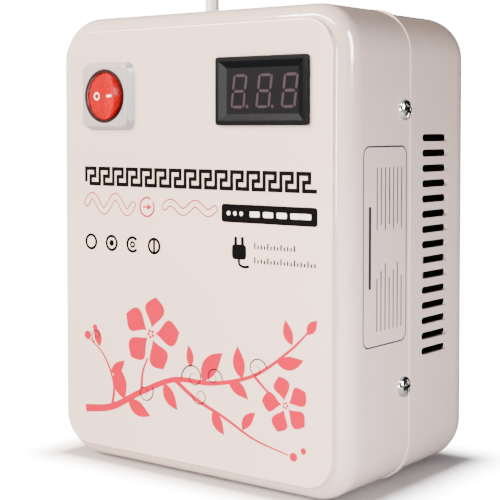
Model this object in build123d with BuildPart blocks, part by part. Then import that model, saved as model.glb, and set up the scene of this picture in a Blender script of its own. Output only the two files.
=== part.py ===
from build123d import *
import os
from math import atan2, cos, hypot, pi, radians, sin, sqrt, tan

# A mains step-down voltage converter: a moulded two-part case that stands on four rubber feet.
# Its front cover carries a round rocker switch in a square plate and a three-digit panel meter.
# Its rear cover carries the ring transformer, the outlets, the breaker and the mains cord.
# Millimetres. X runs to the right seen from the front, Y runs back, Z runs up from the floor.
# The origin is on the floor, midway across the case and midway between its foremost point
# and its rearmost point.

os.makedirs("parts", exist_ok=True)

# Case
case_width = 164.0
case_height = 205.6
case_depth = 110.0  # from the raised front panel to the back wall
case_corner_radius = 20.0
wall = 2.5
seam_depth = 52.2  # from the raised front panel to the seam between the covers
shoulder_radius = 10.0
shoulder_step = 1.5  # how far the shoulder lies behind the raised panel
panel_inset = 6.4
panel_edge_radius = 0.9
rear_inset = 0.8  # how far the rear cover's walls lie inside the front cover's
rear_edge_radius = 17.0
bead_width = 2.4
bead_height = 0.4
lip_length = 13.0  # how far the rear cover's lip reaches into the front cover
lip_root = 4.0
lip_thickness = 2.0
lip_clearance = 0.25
overrun = 2.0
rib_thickness = 1.4
rib_depth = 3.0
rib_pitch = 34.0
rib_count = 4
rib_side_inset = 6.6
rib_base_inset = 16.0
rib_top_drop = 67.6  # of the ribs' upper ends below the case's top

# Feet
foot_proud = 1.0  # floor to the front cover's underside
foot_radius = 6.0
foot_edge_radius = 0.5
foot_hole_radius = 2.3
foot_stem_clearance = 0.1
foot_barb_radius = 3.3
foot_barb_height = 3.2
foot_spread_x = 104.0
foot_front_depth = 26.0
foot_rear_inset = 9.0  # from the foot's middle to where the rear edge starts to curve

# Side screws
screw_seam_inset = 7.15  # from the seam to the screws' axes
screw_base_inset = 43.8
screw_top_drop = 43.6
screw_head_radius = 4.25
screw_head_height = 2.4
screw_head_edge = 1.7
screw_shank_radius = 1.75
screw_shank_length = 9.5
screw_shank_clearance = 0.35
screw_boss_width = 11.0
screw_boss_thickness = 5.5
screw_pilot_clearance = 0.05

# Vents
vent_count = 15
vent_length = 22.9
vent_height = 3.2
vent_pitch = 6.7
vent_seam_inset = 21.1  # from the seam to the vents' middle
vent_top_drop = 55.6

# Rocker switch, measured from the case's left side and top
switch_side_inset = 35.06
switch_drop = 36.8
plate_width = 31.0
plate_corner_radius = 4.5
plate_height = 3.5
plate_taper = 24.0
plate_edge_radius = 0.9
barrel_radius = 12.9
barrel_length = 21.0
barrel_clearance = 0.2
rocker_radius = 10.8
rocker_clearance = 0.4
pivot_behind_plate = 2.0
rocker_tilt = 12.0  # each way from level
rocker_slope = 12.0  # of each half of the face, when level
rocker_crease = 1.4  # from the pivot to the crease of the face
rocker_crease_radius = 5.0
rocker_back = 4.4
rocker_stem_radius = 2.6
rocker_stem_reach = 8.6
rocker_stem_clearance = 0.3
trunnion_radius = 1.5
trunnion_length = 1.6
trunnion_clearance = 0.05
trunnion_end_clearance = 0.15
switch_snap_height = 1.1
switch_snap_length = 4.6
switch_snap_width = 6.0
snap_clearance = 0.1
tab_width = 6.3
tab_thickness = 0.8
tab_length = 8.0
tab_spread = 10.5
tab_row_gap = 9.5
tab_hole_radius = 0.9
tab_hole_inset = 2.6

# Panel meter, measured from the case's right side and top
meter_side_inset = 41.45
meter_drop = 35.76
meter_width = 48.0
meter_tall = 29.0
meter_corner_radius = 1.4
meter_proud = 2.0
meter_edge_radius = 0.5
meter_rim = 2.0
meter_body_width = 45.0
meter_body_tall = 25.7
meter_body_depth = 17.0
meter_body_wall = 1.6
meter_cutout_clearance = 0.25
meter_cutout_radius = 0.8
meter_window_width = 37.4
meter_window_tall = 19.4
meter_bevel_depth = 1.6
window_lap = 1.0
window_thickness = 1.5
window_clearance = 0.1
display_depth = 8.0
display_inset = 0.4
board_thickness = 1.6
board_clearance = 0.25
board_pin_radius = 0.6
board_pin_length = 6.0
board_pin_pitch = 5.08
board_chip_width = 12.0
board_chip_tall = 9.0
board_chip_thickness = 2.2
meter_snap_height = 0.9
meter_snap_length = 5.0
meter_snap_width = 9.0

# Ring transformer
ring_side_clearance = 10.7
ring_base_clearance = 18.7
ring_top_clearance = 1.0  # below what is fixed in the back wall above it
ring_bore_share = 13 / 34  # of the ring's radius, as are the next three
ring_front_depth = 35.0
ring_edge_share = 9 / 68
winding_share = 9 / 68
pad_share = 23 / 34
core_gap = 0.3
lead_exit_width = 10.0
lead_exit_length = 14.0
lead_exit_angle = 128.0
pad_thickness = 2.0
boss_height = 12.0
boss_radius = 30.0
boss_wall = 3.0
boss_rib_count = 8
boss_rib_inset = 12.0  # of the ribs' ends inside the ring's outline
boss_rib_thickness = 2.4
bolt_radius = 4.0
bolt_clearance = 0.3
bolt_boss_radius = 14.0
bolt_head_radius = 7.5
bolt_head_height = 5.0
bolt_recess_radius = 10.0
bolt_recess_clearance = 1.0
bolt_point = 3.0
nut_radius = 7.5
nut_height = 6.5
dish_inset = 2.0
dish_thickness = 2.0
dish_bore_clearance = 2.0
dish_floor_radius = 15.0
dish_depth = 7.0
thermostat_thickness = 4.5
thermostat_edge_radius = 0.8
thermostat_clearance = 0.5
thermostat_angle = 60.0

# Outlets in the back wall, measured from the case's right side and top
outlet_side_inset = 33.5
outlet_drop = 34.1
outlet_count = 2
outlet_pitch = 34.5
outlet_face_width = 32.0
outlet_face_tall = 28.6
outlet_face_radius = 3.5
outlet_face_thickness = 2.0
outlet_face_edge = 0.8
outlet_body_width = 26.6
outlet_body_tall = 24.0
outlet_body_depth = 23.0
outlet_body_radius = 1.2
outlet_clearance = 0.2
slot_spacing = 12.7
slot_width = 2.0
slot_tall = 8.0
slot_rise = 4.2  # of the blade slots above the outlet's middle
earth_radius = 2.6
earth_drop = 7.7
contact_thickness = 0.5
contact_gap = 0.02
contact_tall = 6.3
contact_inset = 4.0
contact_tail = 7.0
earth_contact_clearance = 0.1

# Breaker with its reset button
breaker_pitch = 28.0  # from the inner outlet
breaker_width = 14.0
breaker_tall = 25.0
breaker_depth = 30.0
breaker_edge_radius = 1.2
neck_radius = 5.4
neck_reach = 3.4
neck_clearance = 0.2
neck_nut_radius = 8.1
neck_nut_thickness = 2.4
thread_clearance = 0.05
button_radius = 3.6
button_clearance = 0.1
button_proud = 2.0
button_travel = 4.0
button_edge_radius = 0.8
collar_radius = 4.6
collar_thickness = 2.4
collar_depth = 10.0  # of the collar's inner face below the back wall's outer face
breaker_tab_spread = 12.0

# Terminal block behind the transformer
block_side_inset = 27.0
block_drop = 61.6
block_width = 14.0
block_length = 42.0
block_depth = 10.0
block_edge_radius = 1.0
block_ways = 4
block_way_pitch = 9.6
block_barrier = 1.4
block_well_depth = 5.0
block_screw_radius = 3.0
block_screw_height = 2.6
block_screw_edge = 0.6

# Inner leads, with a sleeve over each tab
lead_radius = 1.2
lead_gap = 0.05
lead_fan = 2.4  # from the bushing's middle to each lead of the cord, both ways
lead_row = 3.4  # between the winding's leads
lead_pair = 1.5  # from the middle of a way to each of the two leads in it
lead_reach = 22.0
lead_swing = 40.0
lead_arch = 16.0
sleeve_wall = 1.2
sleeve_end = 2.5
sleeve_cover = 6.5
sleeve_roof = 3.75  # from a blade's middle to the top of its sleeve

# Mains cord
cord_radius = 3.2
bushing_x = -43.0
bushing_depth = 70.0
bushing_hole_radius = 6.4
bushing_clearance = 0.1
bushing_flange_radius = 8.2
bushing_flange_thickness = 1.6
bushing_nose_height = 6.2  # above the case's top wall
bushing_nose_root_radius = 5.2
bushing_nose_tip_radius = 4.0
bushing_barrel_length = 9.0  # below the case's top wall
bushing_tail_length = 16.0
bushing_tail_radius = 4.6
cord_joint_gap = 0.01  # between one piece of the cord and the next
arc_share = 0.45  # of the shorter run beside a corner, taken by the corner's arc

# Put-away coil
coil_half_turns = 11
coil_inner_radius = 26.0
coil_gap = 0.5
coil_samples = 900

# Plug
sleeve_length = 34.0
sleeve_tip_radius = 4.2
sleeve_root_radius = 6.2
plug_neck_length = 14.0
plug_neck_width = 24.0
plug_neck_tall = 18.0
plug_shoulder_width = 32.0
plug_shoulder_tall = 25.0
plug_neck_radius = 6.0
plug_face_width = 36.0
plug_face_tall = 28.0
plug_face_radius = 8.0
plug_flange_length = 9.0
plug_edge_radius = 1.2
pin_width = 6.3
pin_thickness = 1.6
pin_length = 17.0
earth_pin_length = 20.0
pin_offset = 7.92
pin_lean = 30.0
earth_pin_drop = 10.31
pin_rise = 3.9  # of the two upper pins above the plug's middle

# Places worked out from the sizes above
tilt = radians(rocker_tilt)
slope = radians(rocker_slope)
facet_length = sqrt(rocker_radius**2 - (rocker_crease * cos(slope)) ** 2) - rocker_crease * sin(slope)
facet_rise = rocker_crease + facet_length * sin(slope)
facet_angle = atan2(facet_rise, facet_length * cos(slope))
front_reach = plate_height - pivot_behind_plate + rocker_radius * sin(facet_angle + tilt)
rear_reach = neck_reach + button_proud
overall_depth = front_reach + case_depth + rear_reach
panel_y = front_reach - overall_depth / 2
side_x = case_width / 2
back_y = panel_y + case_depth
seam_y = panel_y + seam_depth
shoulder_y = panel_y + shoulder_step
panel_back_y = panel_y + wall
shoulder_back_y = shoulder_y + wall
panel_width = case_width - 2 * panel_inset
panel_tall = case_height - 2 * panel_inset
panel_corner_radius = case_corner_radius - panel_inset
rib_field_height = case_height - rib_base_inset - rib_top_drop
rear_wall_y = back_y - wall
case_base_z = foot_proud
case_top_z = case_base_z + case_height
case_middle_z = case_base_z + case_height / 2
rear_base_z = case_base_z + rear_inset
rear_top_z = case_top_z - rear_inset
lip_outer_width = case_width - 2 * (wall + lip_clearance)
lip_outer_height = case_height - 2 * (wall + lip_clearance)
lip_outer_radius = case_corner_radius - wall - lip_clearance
switch_x = switch_side_inset - side_x
switch_z = case_top_z - switch_drop
meter_x = side_x - meter_side_inset
meter_z = case_top_z - meter_drop
outlet_z = case_top_z - outlet_drop
outlet_xs = [side_x - outlet_side_inset - i * outlet_pitch for i in reversed(range(outlet_count))]
outlet_places = [(x, outlet_z) for x in outlet_xs]
breaker_x = outlet_xs[0] - breaker_pitch
breaker_z = outlet_z
block_x = block_side_inset - side_x
block_z = case_top_z - block_drop
bushing_y = panel_y + bushing_depth
screw_y = seam_y - screw_seam_inset
screw_places = [(screw_y, case_base_z + screw_base_inset), (screw_y, case_top_z - screw_top_drop)]
foot_x = foot_spread_x / 2
front_foot_y = panel_y + foot_front_depth
rear_foot_y = back_y - rear_edge_radius - foot_rear_inset
front_foot_places = [(side * foot_x, front_foot_y) for side in (-1, 1)]
rear_foot_places = [(side * foot_x, rear_foot_y) for side in (-1, 1)]
foot_places = front_foot_places + rear_foot_places
# The ring fills the room between the side walls, or that between the base and the outlets
ring_side_room = side_x - rear_inset - wall - ring_side_clearance
ring_base_z = rear_base_z + wall + ring_base_clearance
ring_top_z = outlet_z - max(breaker_tall, outlet_body_tall) / 2 - ring_top_clearance
ring_radius = min(ring_side_room, (ring_top_z - ring_base_z) / 2)
ring_z = ring_base_z + ring_radius
ring_front_y = panel_y + ring_front_depth
ring_rear_y = rear_wall_y - boss_height - pad_thickness
ring_bore_radius = ring_radius * ring_bore_share
ring_edge_radius = ring_radius * ring_edge_share
winding_thickness = ring_radius * winding_share
pad_radius = ring_radius * pad_share
core_outer_radius = ring_radius - winding_thickness
core_inner_radius = ring_bore_radius + winding_thickness
# The thermal cut-out fills the flat between the front pad and the winding's rounded edge
thermostat_flat = ring_radius - ring_edge_radius - pad_radius
thermostat_radius = thermostat_flat / 2 - thermostat_clearance
standing = (Align.CENTER, Align.CENTER, Align.MIN)
hanging = (Align.CENTER, Align.CENTER, Align.MAX)


def front_plane(y):
    """The drawing plane at depth y that faces the viewer in front: X to the right, Z up."""
    return Plane.XZ.offset(-y)


def rounded_frame(width, height, radius, mode=Mode.ADD):
    """A rounded rectangle about the case's middle, on a plane that faces the front."""
    with Locations((0, case_middle_z)):
        RectangleRounded(width, height, radius, mode=mode)


# Front cover: a deep tray with a raised panel, a rolled shoulder and a bead round its rim
with BuildPart() as front_hollow:
    with BuildSketch(front_plane(seam_y)):
        rounded_frame(case_width - 2 * wall, case_height - 2 * wall, case_corner_radius - wall)
    extrude(amount=seam_y - shoulder_back_y)
    fillet(front_hollow.faces().sort_by(Axis.Y)[0].edges(), radius=shoulder_radius - wall)
with BuildPart() as front_cover:
    with BuildSketch(front_plane(seam_y)):
        rounded_frame(case_width, case_height, case_corner_radius)
    extrude(amount=seam_y - shoulder_y)
    fillet(front_cover.faces().sort_by(Axis.Y)[0].edges(), radius=shoulder_radius)
    add(front_hollow.part, mode=Mode.SUBTRACT)
    with BuildSketch(front_plane(shoulder_back_y)):
        rounded_frame(panel_width, panel_tall, panel_corner_radius)
    extrude(amount=shoulder_back_y - panel_y)
    fillet(front_cover.faces().sort_by(Axis.Y)[0].edges(), radius=panel_edge_radius)
    with BuildSketch(front_plane(shoulder_back_y)):
        rounded_frame(panel_width - 2 * wall, panel_tall - 2 * wall, panel_corner_radius - wall)
    extrude(amount=shoulder_back_y - panel_back_y, mode=Mode.SUBTRACT)
    # The bead round the rim
    with BuildSketch(front_plane(seam_y)):
        rounded_frame(
            case_width + 2 * bead_height,
            case_height + 2 * bead_height,
            case_corner_radius + bead_height,
        )
        rounded_frame(case_width - wall, case_height - wall, case_corner_radius - wall / 2, Mode.SUBTRACT)
    extrude(amount=bead_width)
    # Stiffening ribs behind the lower part of the panel
    with BuildSketch(front_plane(panel_back_y)):
        with Locations((0, case_base_z + rib_base_inset + rib_field_height / 2)):
            with GridLocations(rib_pitch, rib_pitch, rib_count, 1):
                Rectangle(rib_thickness, rib_field_height)
            Rectangle(panel_width - 2 * rib_side_inset, rib_thickness)
    extrude(amount=-rib_depth)
    # The cut-outs for the switch and the meter
    with BuildSketch(front_plane(panel_y)):
        with Locations((switch_x, switch_z)):
            Circle(barrel_radius + barrel_clearance)
        with Locations((meter_x, meter_z)):
            RectangleRounded(
                meter_body_width + 2 * meter_cutout_clearance,
                meter_body_tall + 2 * meter_cutout_clearance,
                meter_cutout_radius,
            )
    extrude(amount=panel_back_y - panel_y + overrun, both=True, mode=Mode.SUBTRACT)
    # Clearance holes for the side screws
    with BuildSketch(Plane.YZ):
        with Locations(screw_places):
            Circle(screw_shank_radius + screw_shank_clearance)
    extrude(amount=side_x + overrun, both=True, mode=Mode.SUBTRACT)
    # Shallow seats bring the front feet level with those of the rear cover
    with BuildSketch(Plane.XY.offset(case_base_z)):
        with Locations(front_foot_places):
            Circle(foot_radius + foot_stem_clearance)
    extrude(amount=rear_inset, both=True, mode=Mode.SUBTRACT)
    with BuildSketch(Plane.XY.offset(case_base_z)):
        with Locations(front_foot_places):
            Circle(foot_hole_radius)
    extrude(amount=wall + overrun, mode=Mode.SUBTRACT)
front_cover.part.label = "front_cover"
export_step(front_cover.part, "parts/front_cover.step")

# Rear cover: a deep tub with vented sides, and a lip that reaches into the front cover
boss_front_y = rear_wall_y - boss_height
boss_rib_reach = ring_radius - boss_rib_inset
pad_outer_x = lip_outer_width / 2 - lip_thickness / 2
pad_inner_x = lip_outer_width / 2 - screw_boss_thickness
bolt_seat_y = back_y - bolt_head_height - bolt_recess_clearance
rear_width = case_width - 2 * rear_inset
rear_height = case_height - 2 * rear_inset
rear_corner_radius = case_corner_radius - rear_inset
with BuildPart() as rear_hollow:
    with BuildSketch(front_plane(seam_y)):
        rounded_frame(rear_width - 2 * wall, rear_height - 2 * wall, rear_corner_radius - wall)
    extrude(amount=seam_y - rear_wall_y)
    fillet(rear_hollow.faces().sort_by(Axis.Y)[-1].edges(), radius=rear_edge_radius - wall)
with BuildPart() as rear_cover:
    with BuildSketch(front_plane(seam_y)):
        rounded_frame(rear_width, rear_height, rear_corner_radius)
    extrude(amount=seam_y - back_y)
    fillet(rear_cover.faces().sort_by(Axis.Y)[-1].edges(), radius=rear_edge_radius)
    add(rear_hollow.part, mode=Mode.SUBTRACT)
    # The lip, rooted on the inside of the wall
    with BuildSketch(front_plane(seam_y - lip_length)):
        rounded_frame(lip_outer_width, lip_outer_height, lip_outer_radius)
        rounded_frame(
            lip_outer_width - 2 * lip_thickness,
            lip_outer_height - 2 * lip_thickness,
            lip_outer_radius - lip_thickness,
            Mode.SUBTRACT,
        )
    extrude(amount=-lip_length - lip_root)
    # Pads on the lip that the side screws bite into
    for side in (-1, 1):
        with BuildSketch(Plane.YZ.offset(side * pad_inner_x)):
            with Locations(screw_places):
                Rectangle(2 * (lip_length - screw_seam_inset), screw_boss_width)
        extrude(amount=side * (pad_outer_x - pad_inner_x))
    with BuildSketch(Plane.YZ):
        with Locations(screw_places):
            Circle(screw_shank_radius + screw_pilot_clearance)
    extrude(amount=side_x + overrun, both=True, mode=Mode.SUBTRACT)
    # The ribbed seat of the transformer on the back wall
    with BuildSketch(front_plane(rear_wall_y)):
        with Locations((0, ring_z)):
            Circle(boss_radius)
            Circle(boss_radius - boss_wall, mode=Mode.SUBTRACT)
            Circle(bolt_boss_radius)
            with PolarLocations(boss_rib_reach / 2, boss_rib_count):
                Rectangle(boss_rib_reach, boss_rib_thickness)
    extrude(amount=rear_wall_y - boss_front_y)
    with BuildSketch(front_plane(back_y)):
        with Locations((0, ring_z)):
            Circle(bolt_recess_radius)
    extrude(amount=back_y - bolt_seat_y, mode=Mode.SUBTRACT)
    # Holes in the back wall for the bolt, the outlets and the breaker
    with BuildSketch(front_plane(back_y)):
        with Locations((0, ring_z)):
            Circle(bolt_radius + bolt_clearance)
        with Locations(outlet_places):
            RectangleRounded(
                outlet_body_width + 2 * outlet_clearance,
                outlet_body_tall + 2 * outlet_clearance,
                outlet_body_radius,
            )
        with Locations((breaker_x, breaker_z)):
            Circle(neck_radius + neck_clearance)
    extrude(amount=back_y - boss_front_y + overrun, mode=Mode.SUBTRACT)
    # Vents through both sides
    vent_middle_z = case_top_z - vent_top_drop - vent_pitch * (vent_count - 1) / 2
    with BuildSketch(Plane.YZ):
        with Locations((seam_y + vent_seam_inset, vent_middle_z)):
            with GridLocations(vent_pitch, vent_pitch, 1, vent_count):
                SlotOverall(vent_length, vent_height)
    extrude(amount=side_x + overrun, both=True, mode=Mode.SUBTRACT)
    # The hole for the cord's bushing in the top, and those for the feet in the bottom
    with BuildSketch(Plane.XY.offset(rear_top_z)):
        with Locations((bushing_x, bushing_y)):
            Circle(bushing_hole_radius)
    extrude(amount=-wall - overrun, mode=Mode.SUBTRACT)
    with BuildSketch(Plane.XY.offset(rear_base_z)):
        with Locations(rear_foot_places):
            Circle(foot_hole_radius)
    extrude(amount=wall + overrun, mode=Mode.SUBTRACT)
rear_cover.part.label = "rear_cover"
export_step(rear_cover.part, "parts/rear_cover.step")

# Side screws, two on each side
with BuildPart() as cover_screws:
    for side in (-1, 1):
        with BuildSketch(Plane.YZ.offset(side * side_x)):
            with Locations(screw_places):
                Circle(screw_head_radius)
        extrude(amount=side * screw_head_height)
        with BuildSketch(Plane.YZ.offset(side * side_x)):
            with Locations(screw_places):
                Circle(screw_shank_radius)
        extrude(amount=-side * screw_shank_length)
    for end in (0, -1):
        fillet(cover_screws.edges().group_by(Axis.X)[end], radius=screw_head_edge)
cover_screws.part.label = "cover_screws"
export_step(cover_screws.part, "parts/cover_screws.step")

# Push-in rubber feet
foot_stem_radius = foot_hole_radius - foot_stem_clearance
foot_stem_length = wall + foot_stem_clearance
with BuildPart() as rubber_feet:
    with Locations([(x, y, 0) for x, y in foot_places]):
        Cylinder(foot_radius, rear_base_z, align=standing)
    fillet(rubber_feet.edges().group_by(Axis.Z)[0], radius=foot_edge_radius)
    with Locations([(x, y, rear_base_z) for x, y in foot_places]):
        Cylinder(foot_stem_radius, foot_stem_length, align=standing)
    with Locations([(x, y, rear_base_z + foot_stem_length) for x, y in foot_places]):
        Cone(foot_barb_radius, foot_stem_radius, foot_barb_height, align=standing)
rubber_feet.part.label = "rubber_feet"
export_step(rubber_feet.part, "parts/rubber_feet.step")

# Switch housing: a square plate in front of a barrel that snaps into the panel
plate_front_y = panel_y - plate_height
pivot = (switch_x, plate_front_y + pivot_behind_plate, switch_z)
chamber_radius = rocker_radius + rocker_clearance
chamber_floor_y = pivot[1] + rocker_stem_reach + rocker_stem_clearance
barrel_back_y = panel_y + barrel_length
with BuildPart() as switch_housing:
    with BuildSketch(front_plane(panel_y)):
        with Locations((switch_x, switch_z)):
            RectangleRounded(plate_width, plate_width, plate_corner_radius)
    extrude(amount=plate_height, taper=plate_taper)
    fillet(switch_housing.faces().sort_by(Axis.Y)[0].edges(), radius=plate_edge_radius)
    with BuildSketch(front_plane(panel_y)):
        with Locations((switch_x, switch_z)):
            Circle(barrel_radius)
    extrude(amount=-barrel_length)
    with BuildSketch(front_plane(plate_front_y)):
        with Locations((switch_x, switch_z)):
            Circle(chamber_radius)
    extrude(amount=plate_front_y - chamber_floor_y, mode=Mode.SUBTRACT)
    with Locations(pivot):
        Cylinder(
            trunnion_radius + trunnion_clearance,
            2 * (rocker_radius + trunnion_length + trunnion_end_clearance),
            mode=Mode.SUBTRACT,
        )
    # Snap wedges behind the panel
    with BuildSketch(Plane.XY.offset(switch_z - switch_snap_width / 2)):
        for side in (-1, 1):
            root_x = switch_x + side * (barrel_radius - switch_snap_height)
            tip_x = switch_x + side * (barrel_radius + switch_snap_height)
            catch_y = panel_back_y + snap_clearance
            Polygon(
                (root_x, catch_y),
                (tip_x, catch_y),
                (root_x, catch_y + switch_snap_length),
                align=None,
            )
    extrude(amount=switch_snap_width)
switch_housing.part.label = "switch_housing"
export_step(switch_housing.part, "parts/switch_housing.step")

# Rocker: a ball with a creased face, on two trunnions, shown switched off with its left half in
level = Plane(origin=pivot, x_dir=(cos(tilt), -sin(tilt), 0), z_dir=(0, 0, 1))
with BuildPart() as rocker:
    with Locations(pivot):
        Sphere(rocker_radius)
    with BuildSketch(level):
        Polygon(
            (0, -rocker_crease),
            (rocker_radius, -rocker_crease - rocker_radius * tan(slope)),
            (rocker_radius, -2 * rocker_radius),
            (-rocker_radius, -2 * rocker_radius),
            (-rocker_radius, -rocker_crease - rocker_radius * tan(slope)),
            align=None,
        )
        with Locations((0, rocker_back + rocker_radius)):
            Rectangle(2 * rocker_radius, 2 * rocker_radius)
    extrude(amount=rocker_radius, both=True, mode=Mode.SUBTRACT)
    fillet(rocker.edges().filter_by(GeomType.LINE), radius=rocker_crease_radius)
    with Locations(pivot):
        Cylinder(trunnion_radius, 2 * (rocker_radius + trunnion_length))
    with BuildSketch(Plane(origin=pivot, x_dir=(0, 0, 1), z_dir=(sin(tilt), cos(tilt), 0))):
        Circle(rocker_stem_radius)
    extrude(amount=rocker_stem_reach)
rocker.part.label = "rocker"
export_step(rocker.part, "parts/rocker.step")

# Switch terminals: four spade tabs behind the barrel
with BuildPart() as switch_terminals:
    with BuildSketch(front_plane(barrel_back_y)):
        with Locations((switch_x, switch_z)):
            with GridLocations(tab_spread, tab_row_gap, 2, 2):
                Rectangle(tab_thickness, tab_width)
    extrude(amount=-tab_length)
    with BuildSketch(Plane.YZ.offset(switch_x)):
        with Locations((barrel_back_y + tab_length - tab_hole_inset, switch_z)):
            with GridLocations(tab_row_gap, tab_row_gap, 1, 2):
                Circle(tab_hole_radius)
    extrude(amount=tab_spread, both=True, mode=Mode.SUBTRACT)
switch_terminals.part.label = "switch_terminals"
export_step(switch_terminals.part, "parts/switch_terminals.step")

# Meter bezel: a bevelled window frame in front of a box that is open at the back
window_seat_y = panel_y - meter_proud + meter_bevel_depth
meter_hollow_width = meter_body_width - 2 * meter_body_wall
meter_hollow_tall = meter_body_tall - 2 * meter_body_wall
with BuildPart() as meter_bezel:
    with BuildSketch(front_plane(panel_y)):
        with Locations((meter_x, meter_z)):
            RectangleRounded(meter_width, meter_tall, meter_corner_radius)
    extrude(amount=meter_proud)
    fillet(meter_bezel.faces().sort_by(Axis.Y)[0].edges(), radius=meter_edge_radius)
    with BuildSketch(front_plane(panel_y)):
        with Locations((meter_x, meter_z)):
            RectangleRounded(meter_body_width, meter_body_tall, meter_cutout_radius)
    extrude(amount=-meter_body_depth)
    with BuildSketch(front_plane(panel_y + meter_body_depth)):
        with Locations((meter_x, meter_z)):
            Rectangle(meter_hollow_width, meter_hollow_tall)
    extrude(amount=panel_y + meter_body_depth - window_seat_y, mode=Mode.SUBTRACT)
    with BuildSketch(front_plane(panel_y - meter_proud)):
        with Locations((meter_x, meter_z)):
            Rectangle(meter_width - 2 * meter_rim, meter_tall - 2 * meter_rim)
    with BuildSketch(front_plane(window_seat_y)):
        with Locations((meter_x, meter_z)):
            Rectangle(meter_window_width, meter_window_tall)
    loft(mode=Mode.SUBTRACT)
    # Snap wedges behind the panel
    with BuildSketch(Plane.XY.offset(meter_z - meter_snap_width / 2)):
        for side in (-1, 1):
            root_x = meter_x + side * (meter_body_width / 2 - meter_body_wall / 2)
            tip_x = meter_x + side * (meter_body_width / 2 + meter_snap_height)
            catch_y = panel_back_y + snap_clearance
            Polygon(
                (root_x, catch_y),
                (tip_x, catch_y),
                (root_x, catch_y + meter_snap_length),
                align=None,
            )
    extrude(amount=meter_snap_width)
meter_bezel.part.label = "meter_bezel"
export_step(meter_bezel.part, "parts/meter_bezel.step")

# Smoked window, seated behind the bezel's frame
with BuildPart() as meter_window:
    with BuildSketch(front_plane(window_seat_y)):
        with Locations((meter_x, meter_z)):
            Rectangle(meter_window_width + 2 * window_lap, meter_window_tall + 2 * window_lap)
    extrude(amount=-window_thickness)
meter_window.part.label = "meter_window"
export_step(meter_window.part, "parts/meter_window.step")

# Three-digit display block behind the window
display_y = window_seat_y + window_thickness + window_clearance
with BuildPart() as meter_display:
    with BuildSketch(front_plane(display_y)):
        with Locations((meter_x, meter_z)):
            Rectangle(meter_window_width - display_inset, meter_window_tall - display_inset)
    extrude(amount=-display_depth)
meter_display.part.label = "meter_display"
export_step(meter_display.part, "parts/meter_display.step")

# Meter board with its chip and its two pins
board_y = display_y + display_depth
with BuildPart() as meter_board:
    with BuildSketch(front_plane(board_y)):
        with Locations((meter_x, meter_z)):
            Rectangle(meter_hollow_width - 2 * board_clearance, meter_hollow_tall - 2 * board_clearance)
    extrude(amount=-board_thickness)
    with BuildSketch(front_plane(board_y + board_thickness)):
        with Locations((meter_x, meter_z)):
            Rectangle(board_chip_width, board_chip_tall)
    extrude(amount=-board_chip_thickness)
    with BuildSketch(front_plane(board_y + board_thickness)):
        with Locations((meter_x + board_chip_width, meter_z)):
            with GridLocations(board_pin_pitch, board_pin_pitch, 1, 2):
                Circle(board_pin_radius)
    extrude(amount=-board_pin_length)
meter_board.part.label = "meter_board"
export_step(meter_board.part, "parts/meter_board.step")

# Ring transformer: a wound steel core inside its taped winding, whose leads leave by a side opening
with BuildPart() as transformer_winding:
    with BuildSketch(front_plane(ring_front_y)):
        with Locations((0, ring_z)):
            Circle(ring_radius)
            Circle(ring_bore_radius, mode=Mode.SUBTRACT)
    extrude(amount=ring_front_y - ring_rear_y)
    fillet(transformer_winding.edges().filter_by(GeomType.CIRCLE), radius=ring_edge_radius)
    with BuildSketch(front_plane(ring_front_y + winding_thickness)):
        with Locations((0, ring_z)):
            Circle(core_outer_radius)
            Circle(core_inner_radius, mode=Mode.SUBTRACT)
    extrude(amount=ring_front_y - ring_rear_y + 2 * winding_thickness, mode=Mode.SUBTRACT)
    with BuildSketch(front_plane((ring_front_y + ring_rear_y) / 2)):
        with Locations((0, ring_z)):
            with PolarLocations(ring_radius - winding_thickness / 2, 1, start_angle=lead_exit_angle):
                Rectangle(winding_thickness + overrun, lead_exit_width)
    extrude(amount=lead_exit_length / 2, both=True, mode=Mode.SUBTRACT)
transformer_winding.part.label = "transformer_winding"
export_step(transformer_winding.part, "parts/transformer_winding.step")

with BuildPart() as transformer_core:
    with BuildSketch(front_plane(ring_front_y + winding_thickness + core_gap)):
        with Locations((0, ring_z)):
            Circle(core_outer_radius - core_gap)
            Circle(core_inner_radius + core_gap, mode=Mode.SUBTRACT)
    extrude(amount=ring_front_y - ring_rear_y + 2 * (winding_thickness + core_gap))
transformer_core.part.label = "transformer_core"
export_step(transformer_core.part, "parts/transformer_core.step")

# Rubber pads behind and in front of the ring
with BuildPart() as rear_pad:
    with BuildSketch(front_plane(boss_front_y)):
        with Locations((0, ring_z)):
            Circle(pad_radius)
            Circle(bolt_radius + bolt_clearance, mode=Mode.SUBTRACT)
    extrude(amount=pad_thickness)
rear_pad.part.label = "rear_pad"
export_step(rear_pad.part, "parts/rear_pad.step")

with BuildPart() as front_pad:
    with BuildSketch(front_plane(ring_front_y)):
        with Locations((0, ring_z)):
            Circle(pad_radius)
            Circle(ring_bore_radius, mode=Mode.SUBTRACT)
    extrude(amount=pad_thickness)
front_pad.part.label = "front_pad"
export_step(front_pad.part, "parts/front_pad.step")

# Dished washer that dips into the ring's bore
dish_back_y = ring_front_y - pad_thickness
dish_front_y = dish_back_y - dish_thickness
dish_floor_y = dish_front_y + dish_depth
dish_radius = pad_radius - dish_inset
dish_throat_radius = ring_bore_radius - dish_bore_clearance
ring_axis = Axis((0, 0, ring_z), (0, 1, 0))
with BuildPart() as dished_washer:
    with BuildSketch(Plane.YZ):
        with Locations((0, ring_z)):
            Polygon(
                (dish_front_y, dish_radius),
                (dish_front_y, dish_throat_radius),
                (dish_floor_y, dish_floor_radius),
                (dish_floor_y, bolt_radius + bolt_clearance),
                (dish_floor_y + dish_thickness, bolt_radius + bolt_clearance),
                (dish_floor_y + dish_thickness, dish_floor_radius),
                (dish_back_y, dish_throat_radius),
                (dish_back_y, dish_radius),
                align=None,
            )
    revolve(axis=ring_axis)
dished_washer.part.label = "dished_washer"
export_step(dished_washer.part, "parts/dished_washer.step")

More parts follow.
